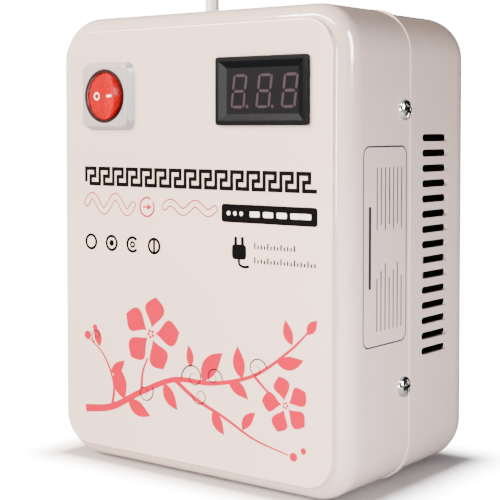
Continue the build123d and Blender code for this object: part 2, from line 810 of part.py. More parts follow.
# Bolt through the back wall and the ring, with its nut in the dish
bolt_tip_y = dish_floor_y - nut_height - bolt_point
with BuildPart() as centre_bolt:
    with BuildSketch(front_plane(bolt_seat_y)):
        with Locations((0, ring_z)):
            RegularPolygon(bolt_head_radius, 6)
    extrude(amount=-bolt_head_height)
    with BuildSketch(front_plane(bolt_seat_y)):
        with Locations((0, ring_z)):
            Circle(bolt_radius)
    extrude(amount=bolt_seat_y - bolt_tip_y)
centre_bolt.part.label = "centre_bolt"
export_step(centre_bolt.part, "parts/centre_bolt.step")

with BuildPart() as centre_nut:
    with BuildSketch(front_plane(dish_floor_y)):
        with Locations((0, ring_z)):
            RegularPolygon(nut_radius, 6)
            Circle(bolt_radius + thread_clearance, mode=Mode.SUBTRACT)
    extrude(amount=nut_height)
centre_nut.part.label = "centre_nut"
export_step(centre_nut.part, "parts/centre_nut.step")

# Thermal cut-out on the winding's front face
with BuildPart() as thermal_cutout:
    with BuildSketch(front_plane(ring_front_y)):
        with Locations((0, ring_z)):
            with PolarLocations(pad_radius + thermostat_flat / 2, 1, start_angle=thermostat_angle):
                Circle(thermostat_radius)
    extrude(amount=thermostat_thickness)
    fillet(thermal_cutout.faces().sort_by(Axis.Y)[0].edges(), radius=thermostat_edge_radius)
thermal_cutout.part.label = "thermal_cutout"
export_step(thermal_cutout.part, "parts/thermal_cutout.step")

# Outlets: two snap-in sockets for parallel blades and an earth pin
for name, (outlet_x, _) in zip(("outlet_inner", "outlet_outer"), outlet_places):
    with BuildPart() as outlet:
        with BuildSketch(front_plane(back_y)):
            with Locations((outlet_x, outlet_z)):
                RectangleRounded(outlet_face_width, outlet_face_tall, outlet_face_radius)
        extrude(amount=-outlet_face_thickness)
        fillet(outlet.faces().sort_by(Axis.Y)[-1].edges(), radius=outlet_face_edge)
        with BuildSketch(front_plane(back_y)):
            with Locations((outlet_x, outlet_z)):
                RectangleRounded(outlet_body_width, outlet_body_tall, outlet_body_radius)
        extrude(amount=outlet_body_depth)
        with BuildSketch(front_plane(back_y + outlet_face_thickness)):
            with Locations((outlet_x, outlet_z + slot_rise)):
                with GridLocations(slot_spacing, slot_spacing, 2, 1):
                    Rectangle(slot_width, slot_tall)
            with Locations((outlet_x, outlet_z - earth_drop)):
                Circle(earth_radius)
        extrude(amount=outlet_face_thickness + outlet_body_depth + overrun, mode=Mode.SUBTRACT)
    outlet.part.label = name
    export_step(outlet.part, f"parts/{name}.step")

# Brass contact strips inside the outlets, with tails for the leads
contact_offset = slot_spacing / 2 + slot_width / 2 - contact_thickness / 2 - contact_gap
contact_start_y = back_y + outlet_face_thickness - contact_inset
earth_contact_width = 2 * (earth_radius - earth_contact_clearance)
with BuildPart() as outlet_contacts:
    with BuildSketch(front_plane(contact_start_y)):
        for outlet_x, _ in outlet_places:
            with Locations((outlet_x, outlet_z + slot_rise)):
                with GridLocations(2 * contact_offset, slot_spacing, 2, 1):
                    Rectangle(contact_thickness, contact_tall)
            with Locations((outlet_x, outlet_z - earth_drop)):
                Rectangle(earth_contact_width, contact_thickness)
    extrude(amount=contact_start_y - back_y + outlet_body_depth + contact_tail)
outlet_contacts.part.label = "outlet_contacts"
export_step(outlet_contacts.part, "parts/outlet_contacts.step")

# Breaker: a body inside the back wall with a threaded neck through it, and a chamber for the collar
breaker_front_y = rear_wall_y - breaker_depth
neck_end_y = back_y + neck_reach
collar_y = back_y - collar_depth
chamber_length = collar_thickness + button_travel + 2 * button_clearance
with BuildPart() as breaker_body:
    with BuildSketch(front_plane(rear_wall_y)):
        with Locations((breaker_x, breaker_z)):
            RectangleRounded(breaker_width, breaker_tall, breaker_edge_radius)
    extrude(amount=breaker_depth)
    with BuildSketch(front_plane(rear_wall_y)):
        with Locations((breaker_x, breaker_z)):
            Circle(neck_radius)
    extrude(amount=rear_wall_y - neck_end_y)
    with BuildSketch(front_plane(neck_end_y)):
        with Locations((breaker_x, breaker_z)):
            Circle(button_radius + button_clearance)
    extrude(amount=neck_end_y - collar_y + collar_thickness, mode=Mode.SUBTRACT)
    with BuildSketch(front_plane(collar_y - button_clearance)):
        with Locations((breaker_x, breaker_z)):
            Circle(collar_radius + button_clearance)
    extrude(amount=-chamber_length, mode=Mode.SUBTRACT)
breaker_body.part.label = "breaker_body"
export_step(breaker_body.part, "parts/breaker_body.step")

with BuildPart() as breaker_nut:
    with BuildSketch(front_plane(back_y)):
        with Locations((breaker_x, breaker_z)):
            RegularPolygon(neck_nut_radius, 6)
            Circle(neck_radius + thread_clearance, mode=Mode.SUBTRACT)
    extrude(amount=-neck_nut_thickness)
breaker_nut.part.label = "breaker_nut"
export_step(breaker_nut.part, "parts/breaker_nut.step")

with BuildPart() as breaker_terminals:
    with BuildSketch(front_plane(breaker_front_y)):
        with Locations((breaker_x, breaker_z)):
            with GridLocations(breaker_tab_spread, breaker_tab_spread, 1, 2):
                Rectangle(tab_thickness, tab_width)
    extrude(amount=tab_length)
breaker_terminals.part.label = "breaker_terminals"
export_step(breaker_terminals.part, "parts/breaker_terminals.step")

# Reset button, shown pushed in
button_tip_y = neck_end_y + button_proud
with BuildPart() as reset_button:
    with BuildSketch(front_plane(button_tip_y)):
        with Locations((breaker_x, breaker_z)):
            Circle(button_radius)
    extrude(amount=button_tip_y - collar_y)
    fillet(reset_button.faces().sort_by(Axis.Y)[-1].edges(), radius=button_edge_radius)
    with BuildSketch(front_plane(collar_y)):
        with Locations((breaker_x, breaker_z)):
            Circle(collar_radius)
    extrude(amount=-collar_thickness)
reset_button.part.label = "reset_button"
export_step(reset_button.part, "parts/reset_button.step")

# Terminal block on the back wall, with a screw in each of its wells
block_front_y = rear_wall_y - block_depth
with BuildPart() as terminal_block:
    with BuildSketch(front_plane(rear_wall_y)):
        with Locations((block_x, block_z)):
            RectangleRounded(block_width, block_length, block_edge_radius)
    extrude(amount=block_depth)
    with BuildSketch(front_plane(block_front_y)):
        with Locations((block_x, block_z)):
            with GridLocations(block_way_pitch, block_way_pitch, 1, block_ways):
                Rectangle(block_width + overrun, block_way_pitch - block_barrier)
    extrude(amount=-block_well_depth, mode=Mode.SUBTRACT)
terminal_block.part.label = "terminal_block"
export_step(terminal_block.part, "parts/terminal_block.step")

with BuildPart() as block_screws:
    with BuildSketch(front_plane(block_front_y + block_well_depth)):
        with Locations((block_x, block_z)):
            with GridLocations(block_way_pitch, block_way_pitch, 1, block_ways):
                Circle(block_screw_radius)
    extrude(amount=block_screw_height)
    fillet(block_screws.edges().group_by(Axis.Y)[0], radius=block_screw_edge)
block_screws.part.label = "block_screws"
export_step(block_screws.part, "parts/block_screws.step")

# Strain-relief bushing in the top of the rear cover
bushing_barrel_radius = bushing_hole_radius - bushing_clearance
nose_length = bushing_nose_height - bushing_flange_thickness
with BuildPart() as cord_bushing:
    with Locations((bushing_x, bushing_y, rear_top_z)):
        Cylinder(bushing_flange_radius, bushing_flange_thickness, align=standing)
        Cylinder(bushing_barrel_radius, bushing_barrel_length, align=hanging)
    with Locations((bushing_x, bushing_y, rear_top_z + bushing_flange_thickness)):
        Cone(bushing_nose_root_radius, bushing_nose_tip_radius, nose_length, align=standing)
    with Locations((bushing_x, bushing_y, rear_top_z - bushing_barrel_length)):
        Cone(
            bushing_tail_radius,
            bushing_barrel_radius,
            bushing_tail_length - bushing_barrel_length,
            align=hanging,
        )
cord_bushing.part.label = "cord_bushing"
export_step(cord_bushing.part, "parts/cord_bushing.step")

# Inner leads: mains to the switch, switch to the winding, winding to the terminal block, block to the
# breaker and the outlets, and the meter's own pair. Each end on a tab has a sleeve over the tab.
cord_z = rear_top_z - bushing_tail_length - lead_gap
live_in = Vector(bushing_x + lead_fan, bushing_y - lead_fan, cord_z)
neutral_in = Vector(bushing_x - lead_fan, bushing_y - lead_fan, cord_z)
earth_in = Vector(bushing_x, bushing_y + lead_fan, cord_z)
outward = Vector(cos(radians(lead_exit_angle)), 0, sin(radians(lead_exit_angle)))
coil_out = Vector(0, (ring_front_y + ring_rear_y) / 2, ring_z) + outward * (core_outer_radius + lead_gap)
right, back, up = Vector(1, 0, 0), Vector(0, 1, 0), Vector(0, 0, 1)
row = back * lead_row
switch_tip_y = barrel_back_y + tab_length
breaker_tip_y = breaker_front_y - tab_length
contact_tip_y = back_y - outlet_body_depth - contact_tail
blade_z = outlet_z + slot_rise
earth_z = outlet_z - earth_drop
half_wall = sleeve_end / 2
live_xs = [x - contact_offset for x in outlet_xs]
neutral_xs = [x + contact_offset for x in outlet_xs]
switch_tabs = [
    Vector(switch_x + side * tab_spread / 2, switch_tip_y + half_wall, switch_z + level * tab_row_gap / 2)
    for side in (-1, 1)
    for level in (-1, 1)
]
neutral_out, neutral_on, live_out, live_on = switch_tabs
breaker_tabs = [
    Vector(breaker_x, breaker_tip_y - half_wall, breaker_z + level * breaker_tab_spread / 2)
    for level in (-1, 1)
]
breaker_in, breaker_out = breaker_tabs
live_tails = [Vector(x, contact_tip_y - half_wall, blade_z) for x in live_xs]
neutral_tails = [Vector(x, contact_tip_y - half_wall, blade_z) for x in neutral_xs]
earth_tails = [Vector(x, contact_tip_y - half_wall, earth_z) for x in outlet_xs]
way_y = block_front_y + block_well_depth - lead_radius - 3 * lead_gap
way_zs = [block_z + (index - (block_ways - 1) / 2) * block_way_pitch for index in range(block_ways)]
head_edge = block_screw_radius + lead_gap
left_top, left_low = [Vector(block_x - head_edge, way_y, z) for z in (way_zs[3], way_zs[2])]
right_low = Vector(block_x + head_edge, way_y, way_zs[2])
pair_high, pair_low = [
    Vector(block_x + head_edge, way_y, way_zs[3] + level * lead_pair) for level in (1, -1)
]
over_z = rear_top_z - wall
roof = up * (sleeve_roof - sleeve_wall)
near, far = back * sleeve_wall, back * (sleeve_cover - sleeve_wall)
pin_y = board_y + board_thickness + board_pin_length + lead_gap
pin_x = meter_x + board_chip_width
high_pin, low_pin = [Vector(pin_x, pin_y, meter_z + level * board_pin_pitch / 2) for level in (1, -1)]
lead_routes = [
    (live_in, live_in - up * lead_arch, live_on + back * lead_reach, live_on),
    (neutral_in, neutral_in - up * lead_arch, neutral_on + back * lead_reach, neutral_on),
    (coil_out - row, coil_out - row + outward * lead_reach, live_out + back * lead_reach, live_out),
    (neutral_out, neutral_out + back * lead_swing, pair_low + right * lead_arch, pair_low),
    (coil_out, coil_out + outward * lead_reach, left_top - right * lead_arch, left_top),
    (coil_out + row, coil_out + row + outward * lead_reach, left_low - right * lead_arch, left_low),
    (right_low, right_low + right * lead_reach, breaker_in - back * lead_reach, breaker_in),
    (
        pair_high,
        pair_high + right * lead_arch,
        Vector(breaker_x - breaker_width, way_y, breaker_z),
        Vector(breaker_x - breaker_width, rear_wall_y - breaker_depth, over_z),
        Vector(breaker_x + breaker_width, breaker_tip_y, over_z + lead_arch / 2),
        neutral_tails[0] - back * lead_reach + up * lead_reach,
        neutral_tails[0] - back * lead_reach,
        neutral_tails[0],
    ),
    (
        earth_in,
        earth_in - up * lead_reach,
        earth_tails[0] - back * (lead_reach + lead_pair) * 2,
        earth_tails[0],
    ),
    (earth_tails[0] + far, earth_tails[1] + far),
    (high_pin, high_pin + back * lead_arch, live_tails[1] - back * lead_reach, live_tails[1]),
    (low_pin, low_pin + back * lead_arch, neutral_tails[1] - back * lead_reach, neutral_tails[1]),
]
arch_routes = [
    (
        breaker_out + roof + far,
        breaker_out + roof + far + up * lead_arch,
        live_tails[0] + roof + near + up * lead_arch,
        live_tails[0] + roof + near,
    ),
    (
        live_tails[0] + roof + far,
        live_tails[0] + roof + far + up * lead_arch,
        live_tails[1] + roof + far + up * lead_arch,
        live_tails[1] + roof + far,
    ),
    (
        neutral_tails[0] + roof + near,
        neutral_tails[0] + roof + near + up * lead_arch,
        neutral_tails[1] + roof + near + up * lead_arch,
        neutral_tails[1] + roof + near,
    ),
]
blade_slot = (tab_thickness + 2 * lead_gap, tab_width + 2 * lead_gap)
earth_slot = (earth_contact_width + 2 * lead_gap, contact_thickness + 2 * lead_gap)
sleeves = [(tab, 1, blade_slot) for tab in switch_tabs]
sleeves += [(tab, -1, blade_slot) for tab in breaker_tabs + live_tails + neutral_tails]
sleeves += [(tab, -1, earth_slot) for tab in earth_tails]
slot_depth = sleeve_cover + lead_gap
with BuildPart() as inner_leads:
    for route in lead_routes + arch_routes:
        with BuildLine() as lead_line:
            Bezier(*route)
        with BuildSketch(Plane(origin=route[0], z_dir=route[1] - route[0])):
            Circle(lead_radius)
        sweep(path=lead_line.wire(), is_frenet=route in arch_routes)
    for place, way, (width, tall) in sleeves:
        with Locations(place - back * way * sleeve_cover / 2):
            Box(width + 2 * sleeve_wall, sleeve_cover + sleeve_end, tall + 2 * sleeve_wall)
    for place, way, (width, tall) in sleeves:
        with Locations(place - back * way * (half_wall + slot_depth / 2 - lead_gap)):
            Box(width, slot_depth + lead_gap, tall, mode=Mode.SUBTRACT)
inner_leads.part.label = "inner_leads"
export_step(inner_leads.part, "parts/inner_leads.step")

# Mains cord: up out of the bushing, over in an arch and down behind the case to the floor
cord_start = (bushing_x, bushing_y, rear_top_z + bushing_nose_height)
cord_route = [
    cord_start,
    (-43.0, 15.9, 254.0),
    (-66.0, 44.1, 275.5),
    (-88.8, 72.0, 253.0),
    (-92.5, 73.5, 184.0),
    (-91.0, 69.5, 118.0),
    (-92.0, 68.5, 66.0),
    (-88.0, 67.2, 31.0),
    (-62.0, 67.0, 3.2),
    (-30.0, 67.0, 3.2),
]
runs = [Vector(b) - Vector(a) for a, b in zip(cord_route, cord_route[1:])]
turns = [radians(a.get_angle(b)) for a, b in zip(runs, runs[1:])]
bend_radii = [
    arc_share * min(a.length, b.length) / tan(turn / 2) for a, b, turn in zip(runs, runs[1:], turns)
]
with BuildPart() as cord_run:
    with BuildLine() as cord_line:
        FilletPolyline(*cord_route, radius=bend_radii)
    with BuildSketch(Plane(origin=cord_start, z_dir=(0, 0, 1))):
        Circle(cord_radius)
    sweep(path=cord_line.wire())
cord_run.part.label = "cord_run"
export_step(cord_run.part, "parts/cord_run.step")

# The put-away length: a coil that winds in on the floor, climbs a layer in its innermost half turn
# and winds out again on top. Each half turn is two quarter arcs that meet in line, also where it climbs.
coil_pitch = 2 * cord_radius + coil_gap
climb_turn = coil_half_turns // 2
turn_radii = [
    coil_inner_radius + coil_pitch / 2 * abs(index - climb_turn) for index in range(coil_half_turns)
]
straight = Vector(2 * cord_radius, 0, 0)
coil_start = Vector(*cord_route[-1]) + Vector(cord_joint_gap, 0, 0)
with BuildPart() as cord_coil:
    with BuildLine() as coil_line:
        point = coil_start + straight
        Line(coil_start, point)
        for index, radius in enumerate(turn_radii):
            way = 1 - 2 * (index % 2)
            rise = coil_pitch if index == climb_turn else 0
            reach = hypot(radius, rise / 2)
            chord = Vector(way * reach, way * radius, rise / 2)
            heading = Vector(way, 0, 0)
            heading_midway = chord * (2 * heading.dot(chord) / chord.length**2) - heading
            far_point = point + Vector(0, 2 * way * radius, rise)
            TangentArc(point, point + chord, tangent=heading)
            TangentArc(point + chord, far_point, tangent=heading_midway)
            point = far_point
        coil_end = point - straight
        Line(point, coil_end)
    with BuildSketch(Plane(origin=coil_start, z_dir=(1, 0, 0))):
        Circle(cord_radius)
    sweep(path=coil_line.wire())
cord_coil.part.label = "cord_coil"
export_step(cord_coil.part, "parts/cord_coil.step")

# Plug: a tapered sleeve that rises to the body's axis, a waisted body and three flat pins
plug_axis_z = plug_face_tall / 2


def plug_plane(distance, height):
    """The drawing plane across the plug at a distance past the coil's end, facing its pins."""
    return Plane(
        origin=(coil_end.X - cord_joint_gap - distance, coil_end.Y, height),
        x_dir=(0, -1, 0),
        z_dir=(-1, 0, 0),
    )


with BuildPart() as plug_body:
    with BuildSketch(plug_plane(0, coil_end.Z)):
        Circle(sleeve_tip_radius)
    with BuildSketch(plug_plane(sleeve_length, plug_axis_z)):
        Circle(sleeve_root_radius)
    loft()
    with BuildSketch(plug_plane(sleeve_length, plug_axis_z)):
        RectangleRounded(plug_neck_width, plug_neck_tall, plug_neck_radius)
    with BuildSketch(plug_plane(sleeve_length + plug_neck_length, plug_axis_z)):
        RectangleRounded(plug_shoulder_width, plug_shoulder_tall, plug_face_radius)
    loft()
    with BuildSketch(plug_plane(sleeve_length + plug_neck_length, plug_axis_z)):
        RectangleRounded(plug_face_width, plug_face_tall, plug_face_radius)
    extrude(amount=plug_flange_length)
    fillet(plug_body.faces().sort_by(Axis.X)[0].edges(), radius=plug_edge_radius)
plug_body.part.label = "plug_body"
export_step(plug_body.part, "parts/plug_body.step")

plug_length = sleeve_length + plug_neck_length + plug_flange_length
with BuildPart() as plug_pins:
    with BuildSketch(plug_plane(plug_length, plug_axis_z)):
        for side in (-1, 1):
            with Locations((side * pin_offset, pin_rise)):
                Rectangle(pin_thickness, pin_width, rotation=side * pin_lean)
    extrude(amount=pin_length)
    with BuildSketch(plug_plane(plug_length, plug_axis_z)):
        with Locations((0, pin_rise - earth_pin_drop)):
            Rectangle(pin_thickness, pin_width)
    extrude(amount=earth_pin_length)
plug_pins.part.label = "plug_pins"
export_step(plug_pins.part, "parts/plug_pins.step")


def least_gap(line, count, apart, thickness):
    """The least clear distance between stretches of a wound tube that lie further apart along it."""
    points = line.positions([i / (count - 1) for i in range(count)])
    skip = int(apart / line.length * (count - 1)) + 1
    return min(
        (points[i] - points[j]).length - thickness
        for i in range(count)
        for j in range(i + skip, count)
    )


def tube_error(part, line):
    """How far a tube's volume departs from its section times its length, as a share of it."""
    return part.volume / (pi * cord_radius**2 * line.length) - 1


run_line = cord_line.wire()
wound_line = coil_line.wire()
print("cord bend radii:", [round(radius, 1) for radius in bend_radii])
print("cord run:", round(run_line.length, 1), "volume error:", tube_error(cord_run.part, run_line))
print("coil:", round(wound_line.length, 1), "volume error:", tube_error(cord_coil.part, wound_line))
coil_least_gap = least_gap(wound_line, coil_samples, pi * coil_inner_radius, 2 * cord_radius)
print("least gap in the coil:", round(coil_least_gap, 2))
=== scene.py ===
import math

import bpy
import numpy as np
from mathutils import Matrix, Vector


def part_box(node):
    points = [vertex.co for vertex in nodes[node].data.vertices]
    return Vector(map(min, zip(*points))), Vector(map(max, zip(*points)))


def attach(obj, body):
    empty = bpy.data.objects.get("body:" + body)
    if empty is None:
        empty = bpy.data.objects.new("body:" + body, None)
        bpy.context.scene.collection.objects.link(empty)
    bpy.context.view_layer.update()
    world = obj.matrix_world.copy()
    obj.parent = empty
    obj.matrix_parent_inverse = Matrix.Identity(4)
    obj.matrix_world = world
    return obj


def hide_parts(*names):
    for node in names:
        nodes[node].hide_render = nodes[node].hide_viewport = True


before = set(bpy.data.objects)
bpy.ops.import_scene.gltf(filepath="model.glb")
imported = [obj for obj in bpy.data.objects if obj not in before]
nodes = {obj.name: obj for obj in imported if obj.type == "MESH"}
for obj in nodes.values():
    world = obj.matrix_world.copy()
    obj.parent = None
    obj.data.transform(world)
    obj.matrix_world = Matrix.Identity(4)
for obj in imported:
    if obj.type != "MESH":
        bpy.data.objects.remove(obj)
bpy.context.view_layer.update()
MM = 0.001


def box_in_mm(name):
    """The low and the high corner of a CAD node's box, in millimetres."""
    return [np.array(corner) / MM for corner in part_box(name)]


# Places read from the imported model, in millimetres
cover_low, cover_high = box_in_mm("front_cover")
rear_low, rear_high = box_in_mm("rear_cover")
screws_low, screws_high = box_in_mm("cover_screws")
switch_low, switch_high = box_in_mm("switch_housing")
washer_low, washer_high = box_in_mm("dished_washer")
wound_low, wound_high = box_in_mm("transformer_winding")
window_y = box_in_mm("meter_window")[0][1]
plate_y = switch_low[1]
panel_y = cover_low[1]
BEAD = 0.4  # how far the bead round the front cover's rim stands out
side_x = cover_high[0] - BEAD
rest_z = cover_low[2] + BEAD  # the underside of the case


# Meshes


def piece(name, points, faces, material, body="case", smooth=True):
    """A mesh from points in millimetres and faces, with its material, riding on a body."""
    mesh = bpy.data.meshes.new(name)
    mesh.from_pydata((np.asarray(points) * MM).tolist(), [], np.asarray(faces).tolist())
    mesh.polygons.foreach_set("use_smooth", np.full(len(mesh.polygons), smooth))
    mesh.materials.append(material)
    made = bpy.data.objects.new(name, mesh)
    bpy.context.scene.collection.objects.link(made)
    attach(made, body)
    return made


def grid_faces(rows, columns, closed=False):
    """Quads over a rows x columns grid of points, row after row; closed joins the last row to the first."""
    row = np.arange(rows if closed else rows - 1)[:, None]
    column = np.arange(columns - 1)[None, :]
    here, there = row * columns + column, (row + 1) % rows * columns + column
    return np.stack([here, there, there + 1, here + 1], axis=-1).reshape(-1, 4)


def gather(shapes):
    """Joins (points, faces) shapes into one, shifting each shape's face numbers past the last one's."""
    starts = np.cumsum([0] + [len(points) for points, _ in shapes[:-1]])
    points = np.concatenate([points for points, _ in shapes])
    faces = np.concatenate([faces + start for (_, faces), start in zip(shapes, starts)])
    return points, faces


# Flat shapes, as points (right, up) in millimetres

ACROSS = np.array([-1.0, 0.0, 1.0])  # where a stroke has points, as shares of its half width
QUARTER_POINTS, DISC_POINTS, RING_STEPS = 9, 25, 64
LEAF_STEPS, TENDRIL_POINTS = 32, 90
THIN = 0.01  # added to a leaf's half width, so that no face shrinks to nothing at its ends


def headings(line, closed=False):
    """The direction of a line at each of its points, and the direction to its left there."""
    if closed:
        along = np.roll(line, -1, axis=0) - np.roll(line, 1, axis=0)
    else:
        along = np.gradient(line, axis=0)
    along /= np.linalg.norm(along, axis=1, keepdims=True)
    return along, np.stack([-along[:, 1], along[:, 0]], axis=1)


def round_box(low, high, radius, count):
    """The outline of a round-cornered box, anticlockwise from its right side, and the direction out of
    it at each point. Each corner is a quarter circle of count points."""
    starts = np.array([0, 90, 180, 270])
    spin = np.radians(np.linspace(starts, starts + 90, count, axis=1)).ravel()
    outward = np.stack([np.cos(spin), np.sin(spin)], axis=1)
    (x0, y0), (x1, y1) = np.asarray(low) + radius, np.asarray(high) - radius
    centres = np.repeat([(x1, y1), (x0, y1), (x0, y0), (x1, y0)], count, axis=0)
    return centres + radius * outward, outward


def stroke(line, half_width, closed=False):
    """A brush stroke: each point of the line, moved sideways by plus and minus the half width there."""
    line = np.asarray(line, dtype=float)
    _, left = headings(line, closed)
    reach = np.broadcast_to(np.asarray(half_width, dtype=float), (len(line),))[:, None, None]
    points = line[:, None, :] + ACROSS[None, :, None] * reach * left[:, None, :]
    return points.reshape(-1, 2), grid_faces(len(line), len(ACROSS), closed)


def bar(start, end, height, corner):
    """A level bar with round corners: its half height falls from full to full less the corner's radius
    along a quarter circle at each end."""
    (x0, z), (x1, _) = start, end
    turn = np.linspace(0, np.pi / 2, QUARTER_POINTS)
    x = np.concatenate([x0 + corner * (1 - np.cos(turn)), x1 - corner * (1 - np.cos(turn[::-1]))])
    half = height / 2 - corner + corner * np.sin(np.concatenate([turn, turn[::-1]]))
    return stroke(np.stack([x, np.full(len(x), z)], axis=1), half)


def dot(centre, radius):
    """A disc: a level stroke whose half width is the half chord of the circle."""
    turn = np.linspace(0, np.pi, DISC_POINTS)
    line = np.stack([centre[0] - radius * np.cos(turn), np.full(DISC_POINTS, float(centre[1]))], axis=1)
    return stroke(line, radius * np.sin(turn))


def ring(centre, radius, half_width, start=0.0, end=360.0):
    """An arc of a circle between two angles in degrees, drawn with an even stroke."""
    whole = end - start >= 360
    turn = np.radians(np.linspace(start, end, RING_STEPS + 1))[: RING_STEPS if whole else None]
    line = np.stack([centre[0] + radius * np.cos(turn), centre[1] + radius * np.sin(turn)], axis=1)
    return stroke(line, half_width, closed=whole)


def curve_through(places, steps=14):
    """A smooth line through places: between each two it is a cubic whose slope at a place is half
    the way from the place before to the place after."""
    places = np.asarray(places, dtype=float)
    slopes = np.gradient(places, axis=0)
    t = np.linspace(0, 1, steps, endpoint=False)[:, None]
    spans = [
        (2 * t**3 - 3 * t**2 + 1) * a + (t**3 - 2 * t**2 + t) * da
        + (3 * t**2 - 2 * t**3) * b + (t**3 - t**2) * db
        for a, b, da, db in zip(places, places[1:], slopes, slopes[1:])
    ]
    return np.concatenate(spans + [places[-1:]])


def leaf(root, angle, length, width, bend=0.0, belly=0.45):
    """A leaf or petal: its middle line leaves the root at an angle and bends evenly, and its half width
    is width/2 times sin(pi t^k), where k puts the widest place at the belly's share of the length."""
    t = np.linspace(0, 1, LEAF_STEPS + 1)
    heading = np.radians(angle) + np.radians(bend) * t
    step = np.stack([np.cos(heading), np.sin(heading)], axis=1) * length / LEAF_STEPS
    line = np.asarray(root) + np.concatenate([[[0, 0]], np.cumsum(step[1:], axis=0)])
    power = np.log(0.5) / np.log(belly)
    return stroke(line, width / 2 * np.sin(np.pi * t**power) + THIN)


def tendril(root, angle, radius, turns, half_width, way=1):
    """A curl: a spiral that starts at the root in the given direction and whose radius shrinks by a
    steady share a turn, r = radius * exp(-1.5 t), drawn ever finer towards its eye."""
    t = np.linspace(0, 1, TENDRIL_POINTS)
    spin = np.radians(angle) - way * np.pi / 2 + way * 2 * np.pi * turns * t
    reach = radius * np.exp(-1.5 * t)
    line = np.stack([reach * np.cos(spin), reach * np.sin(spin)], axis=1)
    return stroke(line - line[0] + np.asarray(root), half_width * (1 - 0.7 * t))


def vine(places, root_width, tip_width):
    """A stem through places that thins evenly from its root to its tip."""
    line = curve_through(places)
    return stroke(line, np.linspace(root_width, tip_width, len(line)) / 2)


def key_band(start, units, pitch, height, line):
    """A Greek key: each unit goes up, along the top, half way down, inwards, down and on to the next.
    Its level bars take the corners and its upright bars fill the gaps in between."""
    half = line / 2
    shapes = []
    low, top = start[1] - height / 2 + half, start[1] + height / 2 - half
    middle = (low + top) / 2
    for x in start[0] + pitch * np.arange(units):
        first, second, third, fourth = (x + pitch * k / 3 for k in range(4))
        for left, right, z in ((first, third, top), (second, third, middle), (second, fourth, low)):
            shapes.append(stroke([(left - half, z), (right + half, z)], half))
        for z0, z1, at in ((low, top, first), (middle, top, third), (low, middle, second)):
            shapes.append(stroke([(at, z0 + half), (at, z1 - half)], half))
    return shapes


def outlined(line, offset, half_width):
    """The outline of a thick round-ended stroke: its two sides and its two half-circle ends."""
    line = np.asarray(line, dtype=float)
    along, left = headings(line)
    turn = np.linspace(0, np.pi, 12)[1:-1, None]
    end_cap = line[-1] + offset * (np.cos(turn) * left[-1] + np.sin(turn) * along[-1])
    start_cap = line[0] - offset * (np.cos(turn) * left[0] + np.sin(turn) * along[0])
    sides = [line + offset * left, end_cap, (line - offset * left)[::-1], start_cap]
    return stroke(np.concatenate(sides), half_width, closed=True)


# Flat shapes put in their places

LIFT = 0.03  # how far a print stands off the face it is on
LAYER = 0.001  # how far each shape of a print is in front of the one before


def upright(points, y):
    """Flat points as places at a depth y."""
    return np.insert(points, 1, y, axis=1)


def on_front(shapes, lift=LIFT):
    """Puts flat shapes on the raised front panel, each a hair in front of the one before."""
    return gather([
        (upright(points, panel_y - lift - LAYER * count), faces)
        for count, (points, faces) in enumerate(shapes)
    ])


def on_right(shapes, lift=LIFT):
    """Puts flat shapes on the right side of the case: right is back, up is up."""
    points, faces = gather(shapes)
    return np.stack([np.full(len(points), side_x + lift), points[:, 0], points[:, 1]], axis=1), faces


# Colours and materials


def linear(hex_colour):
    """An sRGB hex value as linear RGBA: c / 12.92 up to 0.04045, above it ((c + 0.055) / 1.055) ^ 2.4."""
    value = np.array([int(hex_colour[i : i + 2], 16) for i in (1, 3, 5)]) / 255
    value = np.where(value <= 0.04045, value / 12.92, ((value + 0.055) / 1.055) ** 2.4)
    return (*value.tolist(), 1.0)


def add(tree, kind, inputs=None, **settings):
    """Adds a node with its settings; an input is a value, or another node's socket to link."""
    made = tree.nodes.new(kind)
    for name, value in settings.items():
        setattr(made, name, value)
    for name, value in (inputs or {}).items():
        if isinstance(value, bpy.types.NodeSocket):
            tree.links.new(value, made.inputs[name])
        else:
            made.inputs[name].default_value = value
    return made


def surface(name, light, dark, patch, grain, relief, roughness, spread=0.05, **shader_inputs):
    """A material of two close colours in patches, with a grain in relief and in roughness.
    patch and grain are feature sizes and relief a height, all in millimetres."""
    material = bpy.data.materials.new(name)
    material.use_nodes = True
    tree = material.node_tree
    shader = tree.nodes["Principled BSDF"]
    for socket, value in shader_inputs.items():
        shader.inputs[socket.replace("_", " ").title().replace("Ior", "IOR")].default_value = value
    place = add(tree, "ShaderNodeMapping", {
        "Vector": add(tree, "ShaderNodeTexCoord").outputs["Object"], "Scale": (1 / MM,) * 3})
    clouds = add(tree, "ShaderNodeTexNoise", {
        "Vector": place.outputs["Vector"], "Scale": 1 / patch, "Detail": 3.0})
    grains = add(tree, "ShaderNodeTexNoise", {
        "Vector": place.outputs["Vector"], "Scale": 1 / grain, "Detail": 2.0})
    tint = add(tree, "ShaderNodeMix", {
        0: clouds.outputs["Fac"], 6: linear(light), 7: linear(dark)}, data_type="RGBA")
    gloss = add(tree, "ShaderNodeMapRange", {
        "Value": grains.outputs["Fac"], "From Min": 0.3, "From Max": 0.7,
        "To Min": roughness - spread, "To Max": roughness + spread})
    bump = add(tree, "ShaderNodeBump", {
        "Height": grains.outputs["Fac"], "Strength": 1.0, "Distance": relief * MM})
    tree.links.new(tint.outputs[2], shader.inputs["Base Color"])
    tree.links.new(gloss.outputs["Result"], shader.inputs["Roughness"])
    tree.links.new(bump.outputs["Normal"], shader.inputs["Normal"])
    return material


